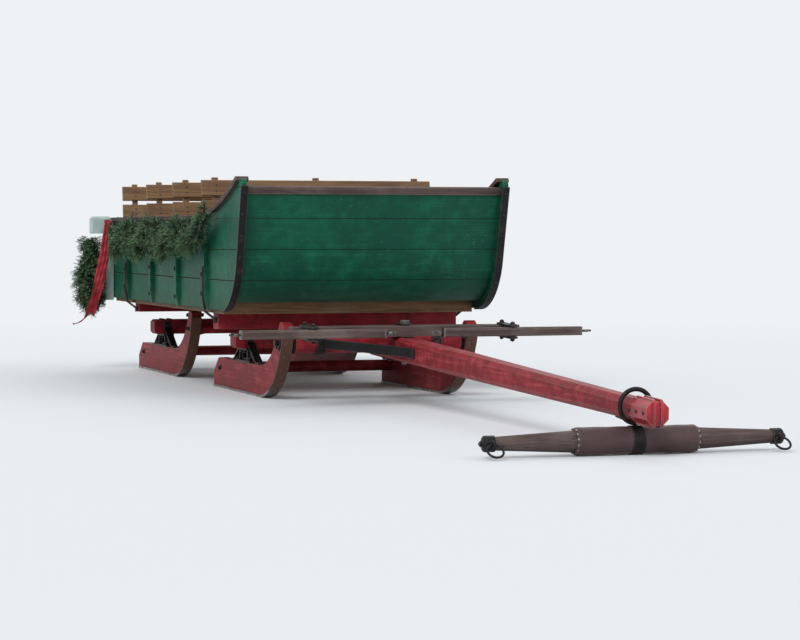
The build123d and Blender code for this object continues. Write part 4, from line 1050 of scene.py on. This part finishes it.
def needle_spray(name, length, side_twigs):
    """A flat fan of fir twigs with needles, growing up from the origin."""
    rows = [(0.0, 0.0, length)]
    for number in range(side_twigs):
        share = (number + 1) / (side_twigs + 1)
        lean = TWIG_LEAN if number % 2 else -TWIG_LEAN
        rows.append((share * length * 0.85, lean, length * (0.62 - 0.38 * share)))
    put_down()
    bpy.ops.mesh.primitive_plane_add(size=1)
    needle = bpy.context.object
    edit_faces(needle, lambda normal: True)
    bpy.ops.transform.rotate(value=math.radians(45), orient_axis="Z", center_override=(0, 0, 0))
    bpy.ops.transform.resize(value=NEEDLE_SIZE, center_override=(0, 0, 0))
    bpy.ops.transform.translate(value=(0, NEEDLE_FOOT, 0))
    put_down()
    bpy.ops.mesh.primitive_cone_add(
        vertices=3, radius1=TWIG_FOOT, radius2=TWIG_TIP, depth=1, location=(0, 0, 0.5)
    )
    twig = settle(bpy.context.object)
    points, faces, marks, reaches = [], [], [], []
    first = 0
    spread = np.random.default_rng(len(name) + side_twigs)
    for start, lean, size in rows:
        along = Vector((math.sin(lean), 0, math.cos(lean)))
        base = Vector((0, 0, start))
        turn = turned_to(along)
        copies = [(twig, Matrix.Translation(base) @ turn @ Matrix.Diagonal((1, 1, size, 1)), 1)]
        for step in range(int(size / NEEDLE_STEP)):
            for rank in range(3):
                at = base + along * (step * NEEDLE_STEP + rank * NEEDLE_STEP / 3 + 0.004)
                roll = math.radians((90, -90, spread.uniform(-40, 220))[rank])
                pitch = math.radians(spread.uniform(*NEEDLE_PITCHES))
                roll += spread.uniform(-0.35, 0.35)
                matrix = Matrix.Translation(at) @ turn @ Matrix.Rotation(roll, 4, "Z")
                copies.append((needle, matrix @ Matrix.Rotation(pitch, 4, "X"), 0))
        for model, matrix, mark in copies:
            for vertex in model.data.vertices:
                place = matrix @ vertex.co
                points.append(place)
                reaches.append(min(1.0, max(0.0, place.z / length)))
            for face in model.data.polygons:
                faces.append(tuple(first + corner for corner in face.vertices))
                marks.append(mark)
            first += len(model.data.vertices)
    discard(needle, twig)
    mesh = mesh_of(name, points, faces)
    mesh.polygons.foreach_set("material_index", marks)
    mesh.attributes.new("reach", "FLOAT", "POINT").data.foreach_set("value", reaches)
    return in_scene(name, mesh)


def growing(point, along, tilt, roll, size):
    """A spray's place: it grows along the stem's direction, leaning out of it by tilt."""
    return (
        Matrix.Translation(point)
        @ turned_to(along)
        @ Matrix.Rotation(roll, 4, "Z")
        @ Matrix.Rotation(tilt, 4, "X")
        @ Matrix.Rotation(draws.uniform(0, math.tau), 4, "Z")
        @ Matrix.Scale(size, 4)
    )


SWAG_X = 0.7753
SWAG_BACK, SWAG_FRONT = 3.042, 0.492
SWAG_PITCH = (SWAG_BACK - SWAG_FRONT) / 4
SWAG_HIGH, SWAG_DROP, SWAG_RISE = 0.885, 0.120, 0.060
SWAG_LOOK = 0.02
SWAG_SPRAYS, SWAG_TUFTS = 395, 380
WALL_FACE, POST_FACE = 0.7215, 0.7465
BUNCH_X, BUNCH_Y, BUNCH_HIGH = 0.8333, 3.219, 0.825
BUNCH_SPRAYS, BUNCH_TIERS = 430, 5
TIER_PITCH, TIERS_BELOW = 0.078, 0.030
TIER_SPREAD = (0.78, 0.90, 1.08, 1.16, 0.98)
SWAG_STEM, SWAG_STEM_END, BUNCH_STEM = 0.022, 0.010, 0.034
RIBBON_GAP, RIBBON_LANE = 0.022, 0.046
RIBBON_Y = 3.114
RIBBON_HIGH, RIBBON_LOW = 0.893, 0.345
RIBBON_TOP_X, RIBBON_FOOT_X = 0.749, 0.862
COMBED_FROM, COMBED_REACH = 2.55, 0.742


def swag_point(share):
    """A place on the swags' line, from the rear end at 0 to the front at 4."""
    swag = min(3, int(share))
    way = share - swag
    lift = SWAG_RISE * way if swag == 3 else 0.0
    sag = SWAG_DROP * 4 * way * (1 - way)
    return Vector((SWAG_X, SWAG_BACK - SWAG_PITCH * share, SWAG_HIGH + lift - sag))


def swag_way(share):
    """The way the swags' line runs there, towards the front."""
    start = share - SWAG_LOOK if share > 4 - SWAG_LOOK else share
    return (swag_point(start + SWAG_LOOK) - swag_point(start)).normalized()


sprays = [
    needle_spray("fir_spray_a", 0.125, 5),
    needle_spray("fir_spray_b", 0.100, 5),
    needle_spray("fir_tuft", 0.052, 2),
]
TUFT = 2


def heart(rows, side):
    """A lumpy core along rows of (point, radius), near-black as the deep shade inside the fir: painted
    shade.
    """
    line = [(point.x * side, point.y, point.z) for point, radius in rows]
    piece = smooth_line("fir_heart", line, 3, 3)
    piece.data.bevel_depth = 1.0
    piece.data.bevel_resolution = 2
    piece.data.use_fill_caps = True
    for place, (point, radius) in zip(piece.data.splines[0].points, rows):
        place.radius = radius
    take_up(piece)
    bpy.ops.object.convert(target="MESH")
    piece = bpy.context.object
    for vertex in piece.data.vertices:
        vertex.co += Vector(draws.uniform(-0.007, 0.007, 3))
    piece.data.materials.clear()
    piece.data.materials.append(finishes["heart"])
    put_down()
    return piece


def fir_piece(name, places, core, side, wall):
    """All the sprays and their core as one piece, pressed flat where it meets the wall."""
    piece = repeat(name, sprays, places, ["fir", "bark"], "sleigh_box")
    joined([piece, core])
    for vertex in piece.data.vertices:
        if vertex.co.x * side < wall:
            vertex.co.x = side * (wall + 0.0004 * (vertex.co.z * 1000 % 7))
    return piece


def swags(side_name, side):
    """The garland along a side: long sprays along its line, some hanging, and tufts between."""
    mirror = Vector((side, 1, 1))
    places = []
    for number in range(SWAG_SPRAYS):
        share = 4 * (number + draws.random()) / SWAG_SPRAYS
        along = swag_way(share) * (1 if draws.random() < 0.6 else -1)
        point = swag_point(share) + Vector(draws.uniform(-0.016, 0.016, 3))
        slim = 0.45 + 0.55 * min(1.0, share / 0.62, (4 - share) / 0.4)
        lean, size = draws.uniform(0.30, 0.98), draws.uniform(0.62, 0.92)
        if number % 3 == 0:
            along = DOWN + OUT * draws.uniform(0.0, 0.7) + along * draws.uniform(-0.6, 0.6)
            lean, size = lean * 0.5, draws.uniform(0.74, 1.02)
        roll = draws.uniform(0, math.tau)
        place = growing(point * mirror, along * mirror, lean, roll, size * slim)
        places.append((number % 2, place))
    for number in range(SWAG_TUFTS):
        share = 4 * (number + draws.random()) / SWAG_TUFTS
        lean, roll = draws.uniform(0.8, 1.6), draws.uniform(0, math.tau)
        size = draws.uniform(0.85, 1.35)
        place = growing(swag_point(share) * mirror, swag_way(share) * mirror, lean, roll, size)
        places.append((TUFT, place))
    stem = [
        (swag_point(0.07 + step * 0.16), SWAG_STEM_END if step in (0, 24) else SWAG_STEM)
        for step in range(25)
    ]
    piece = fir_piece("fir_swags_" + side_name, places, heart(stem, side), side, WALL_FACE)
    # The fir ends before the ribbon, and lies close to the side there so that the ribbon shows
    for vertex in piece.data.vertices:
        past = vertex.co.y - (RIBBON_Y - RIBBON_GAP)
        if past > 0:
            vertex.co.y -= past * 0.9
        reach = COMBED_REACH + max(0.0, RIBBON_Y - vertex.co.y) * 0.20
        proud = vertex.co.x * side - reach
        if proud > 0 and vertex.co.y > COMBED_FROM:
            drawn_in = min(1.0, (vertex.co.y - COMBED_FROM) / 0.2) * 0.86
            vertex.co.x -= side * proud * drawn_in
    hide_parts("garland_" + side_name)


def bunch(side_name, side):
    """The long bunch at the rear corner, in tiers that hang down, parted behind the ribbon."""
    places = []
    for number in range(BUNCH_SPRAYS):
        tier = number % BUNCH_TIERS
        share = draws.random() ** 1.3
        height = BUNCH_HIGH - TIERS_BELOW - (tier + share * 0.80) * TIER_PITCH
        jitter = Vector(draws.uniform(-0.020, 0.020, 3))
        lean = 1.15 - 0.85 * share - 0.04 * tier + draws.uniform(-0.10, 0.10)
        roll = draws.uniform(0, math.tau)
        size = draws.uniform(0.88, 1.0) * TIER_SPREAD[tier] * (1.0 - 0.22 * share)
        point = Vector((side * BUNCH_X, BUNCH_Y, height)) + jitter
        places.append((number % 2, growing(point, DOWN, lean, roll, size)))
    stem = [
        (Vector((BUNCH_X, BUNCH_Y, BUNCH_HIGH - 0.045 - step * 0.052)), BUNCH_STEM)
        for step in range(8)
    ]
    piece = fir_piece("fir_bunch_" + side_name, places, heart(stem, side), side, POST_FACE)
    for vertex in piece.data.vertices:
        share = (RIBBON_HIGH - vertex.co.z) / (RIBBON_HIGH - RIBBON_LOW)
        middle = RIBBON_TOP_X + (RIBBON_FOOT_X - RIBBON_TOP_X) * share
        before = RIBBON_Y + 0.016 - vertex.co.y
        if before > 0 and abs(vertex.co.x * side - middle) < RIBBON_LANE:
            vertex.co.y += before * 0.93


for side_name, side in LEFT_AND_RIGHT:
    swags(side_name, side)
    bunch(side_name, side)
discard(*sprays)


# Ribbons

BAND_WIDTH, TAIL_WIDTH = 0.062, 0.028
CLOTH_THICK = 0.0007
KNOT_RADIUS, KNOT_CLOTH = 0.0125, 0.0085
KNOT_TURNS = ((25, 1.0), (-55, 0.8))


def hanging_rows(name, points):
    """Rows down a smooth line: their places, and the ways ahead, across and out of the cloth."""
    guide = smooth_line(name + "_guide", points, 4, 12)
    traced = bpy.data.meshes.new_from_object(guide)
    path = np.array([vertex.co[:] for vertex in traced.vertices])
    discard(guide)
    bpy.data.meshes.remove(traced)
    ahead = np.gradient(path, axis=0)
    ahead /= np.linalg.norm(ahead, axis=1)[:, None]
    level = np.array([1.0, 0.0, 0.0]) - ahead * ahead[:, :1]
    level /= np.linalg.norm(level, axis=1)[:, None]
    facing = np.cross(ahead, level)
    twists = [point[3] for point in points]
    twist = np.interp(np.linspace(0, 1, len(path)), np.linspace(0, 1, len(points)), twists)
    twist = np.radians(twist)[:, None]
    across = level * np.cos(twist) + facing * np.sin(twist)
    out = facing * np.cos(twist) - level * np.sin(twist)
    return path, ahead, across, out


def ribbon(name, points, width, side, gathered, forked, columns):
    """Cloth that hangs along points of (x, y, z, twist in degrees), seen from the front.

    It is gathered into pleats at its top, by a share of its width, and forked at its foot
    over a share of its length. Its middle has two columns of points, so that the halves part."""
    path, ahead, across, out = hanging_rows(name, points)
    last = len(path) - 1
    middle = columns // 2
    stations = [(column / columns - 0.5, 0) for column in range(columns + 1)]
    stations[middle] = (0.0, -1)
    stations.append((0.0, 1))
    spots, charts = [], []
    for row in range(last + 1):
        down = row / last
        fork = max(0.0, (down - 1 + forked) / forked) if forked else 0.0
        narrow = 1 - gathered * math.exp(-down / 0.12)
        pleats = 0.16 * gathered * math.exp(-down / 0.18) + 0.02
        for over, half in stations:
            half = half or math.copysign(1, over)
            pleat = pleats * math.sin(6 * math.pi * over + 2 * math.sin(5 * down))
            wave = 0.07 * min(1, 5 * down) * math.sin(23 * down + 3 * over)
            wave += 0.03 * math.sin(51 * down - 5 * over)
            curl = 0.22 * over * over * math.sin(8 * down + 1)
            lift = pleat + wave + curl + 0.17 * half * fork
            slant = 0.9 * fork * fork * (abs(over) - 0.25)
            aside = over * narrow + 0.13 * half * fork
            place = path[row] + (across[row] * aside + out[row] * lift + ahead[row] * slant) * width
            spots.append((place[0] * side, place[1], place[2]))
            charts.append((down, over + 0.5))
    row_size = len(stations)
    faces = []
    for row in range(last):
        split = forked and row / last > 1 - forked
        for column in range(columns):
            first = row_size - 1 if split and column == middle else column
            corners = [row * row_size + first, row * row_size + column + 1]
            corners += [corner + row_size for corner in reversed(corners)]
            faces.append(corners[:: int(side)])
    mesh = mesh_of(name, spots, faces)
    chart = mesh.uv_layers.new(name="UVMap")
    for loop in mesh.loops:
        chart.data[loop.index].uv = charts[loop.vertex_index]
    mesh.materials.append(finishes["ribbon"])
    piece = in_scene(name, mesh)
    take_up(piece)
    bpy.ops.object.mode_set(mode="EDIT")
    bpy.ops.mesh.select_all(action="SELECT")
    bpy.ops.mesh.delete_loose()
    worked(piece, "SOLIDIFY", thickness=CLOTH_THICK)
    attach(piece, "sleigh_box")
    return smooth(piece, 60), float(np.linalg.norm(np.diff(path, axis=0), axis=1).sum())


def knot(name, place):
    """The ribbon's knot: two flattened, crumpled turns of cloth."""
    turns = []
    for tilt, size in KNOT_TURNS:
        put_down()
        bpy.ops.mesh.primitive_torus_add(
            major_segments=28,
            minor_segments=12,
            major_radius=KNOT_RADIUS * size,
            minor_radius=KNOT_CLOTH * size,
            location=place,
            rotation=(math.radians(90), math.radians(tilt), 0),
        )
        bpy.context.object.scale = (1.25, 0.8, 0.9)
        turns.append(settle(bpy.context.object))
    for turn in turns:
        for vertex in turn.data.vertices:
            vertex.co += Vector(draws.uniform(-0.0009, 0.0009, 3))
    piece = joined(turns)
    piece.name = name
    worked(piece, "SUBSURF", levels=1, render_levels=1)
    piece.data.materials.append(finishes["ribbon"])
    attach(piece, "sleigh_box")
    return smooth(piece, 60)


BAND_LINE = (
    (RIBBON_TOP_X, RIBBON_Y, RIBBON_HIGH, 0),
    (0.751, RIBBON_Y - 0.001, 0.845, 4),
    (0.764, RIBBON_Y - 0.004, 0.755, -6),
    (0.776, RIBBON_Y - 0.001, 0.665, 8),
    (0.802, RIBBON_Y - 0.005, 0.565, -8),
    (0.815, RIBBON_Y - 0.002, 0.475, 8),
    (0.850, RIBBON_Y - 0.006, 0.395, 18),
    (RIBBON_FOOT_X, RIBBON_Y - 0.004, RIBBON_LOW, 26),
)
TAIL_LINE = (
    (0.752, RIBBON_Y + 0.010, 0.885, 0),
    (0.775, RIBBON_Y + 0.009, 0.74, 4),
    (0.806, RIBBON_Y + 0.009, 0.58, -4),
    (0.838, RIBBON_Y + 0.008, 0.44, 12),
    (0.866, RIBBON_Y + 0.002, 0.365, 34),
    (0.898, RIBBON_Y - 0.006, 0.314, 58),
    (0.936, RIBBON_Y - 0.012, 0.290, 72),
    (0.968, RIBBON_Y - 0.008, 0.286, 84),
)
for side_name, side in LEFT_AND_RIGHT:
    band, band_length = ribbon(
        "ribbon_band_" + side_name, BAND_LINE, BAND_WIDTH, side, gathered=0.35, forked=0.13, columns=20
    )
    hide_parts("ribbon_" + side_name)
    tie = knot("ribbon_knot_" + side_name, (side * RIBBON_TOP_X, RIBBON_Y, RIBBON_HIGH + 0.004))
    tail, tail_length = ribbon(
        "ribbon_tail_" + side_name, TAIL_LINE, TAIL_WIDTH, side, gathered=0.0, forked=0.0, columns=4
    )


# Floor, light and camera

BACKDROP = (0.86, 0.88, 0.90, 1.0)
FLOOR_REACH, FADE_FROM, FADE_TO = 140, 5.5, 12.0
bpy.ops.mesh.primitive_circle_add(vertices=96, radius=FLOOR_REACH, fill_type="NGON")
floor = bpy.context.object
floor.name = "studio_floor"
paper = Finish("pale floor")
far = paper.step(paper.vectors("LENGTH", paper.spot(), output="Value"), FADE_FROM, FADE_TO)
seen = paper.node("ShaderNodeLightPath", output="Is Camera Ray")
glow = paper.node("ShaderNodeEmission", {}, {"Color": BACKDROP, "Strength": 1.0})
paper.coat(Base_Color=(0.80, 0.82, 0.84, 1.0), Roughness=0.9)
matt = Signal(paper, paper.shader.outputs[0])
blend = paper.node("ShaderNodeMixShader", {}, {0: far * seen, 1: matt, 2: glow})
paper.join(paper.tree.nodes["Material Output"], {"Surface": blend})
floor.data.materials.append(paper.material)

world = bpy.data.worlds.new("studio")
bpy.context.scene.world = world
world.use_nodes = True
world.node_tree.nodes.clear()
sky = Nodes(world.node_tree)
rays = [
    sky.node("ShaderNodeLightPath", output=f"Is {kind} Ray")
    for kind in ("Camera", "Glossy", "Transmission")
]
shown = rays[0].larger(rays[1]).larger(rays[2])
ambient = sky.node("ShaderNodeBackground", {}, {"Color": (0.92, 0.96, 1.0, 1.0), "Strength": 0.55})
backdrop = sky.node("ShaderNodeBackground", {}, {"Color": BACKDROP, "Strength": 1.0})
choice = sky.node("ShaderNodeMixShader", {}, {0: shown, 1: ambient, 2: backdrop})
sky.join(sky.tree.nodes.new("ShaderNodeOutputWorld"), {"Surface": choice})

for label, place, strength, softness in (
    ("key", (-9, -12, 13), 1.5, 28),
    ("fill", (11, -7, 7), 0.45, 45),
    ("back", (4, 12, 9), 0.5, 40),
):
    bpy.ops.object.light_add(type="SUN", location=place)
    lamp = bpy.context.object
    lamp.name = "lamp_" + label
    lamp.data.energy = strength
    lamp.data.angle = math.radians(softness)
    lamp.rotation_mode = "QUATERNION"
    lamp.rotation_quaternion = Vector(place).to_track_quat("Z", "Y")

VIEW_TURN = math.radians(-18)
VIEW_RISE = math.radians(2)
VIEW_DISTANCE = 12.4
VIEW_TARGET = Vector((0.10, 0.0, 0.40))
VIEW_LENS = 112
back = Vector(
    (
        math.sin(VIEW_TURN) * math.cos(VIEW_RISE),
        -math.cos(VIEW_TURN) * math.cos(VIEW_RISE),
        math.sin(VIEW_RISE),
    )
)
bpy.ops.object.camera_add(location=VIEW_TARGET + back * VIEW_DISTANCE)
camera = bpy.context.object
camera.rotation_mode = "QUATERNION"
camera.rotation_quaternion = back.to_track_quat("Z", "Y")
camera.data.sensor_width = 36
camera.data.lens = VIEW_LENS
camera.data.clip_end = 400
bpy.context.scene.camera = camera
bpy.context.scene.view_settings.view_transform = "Standard"
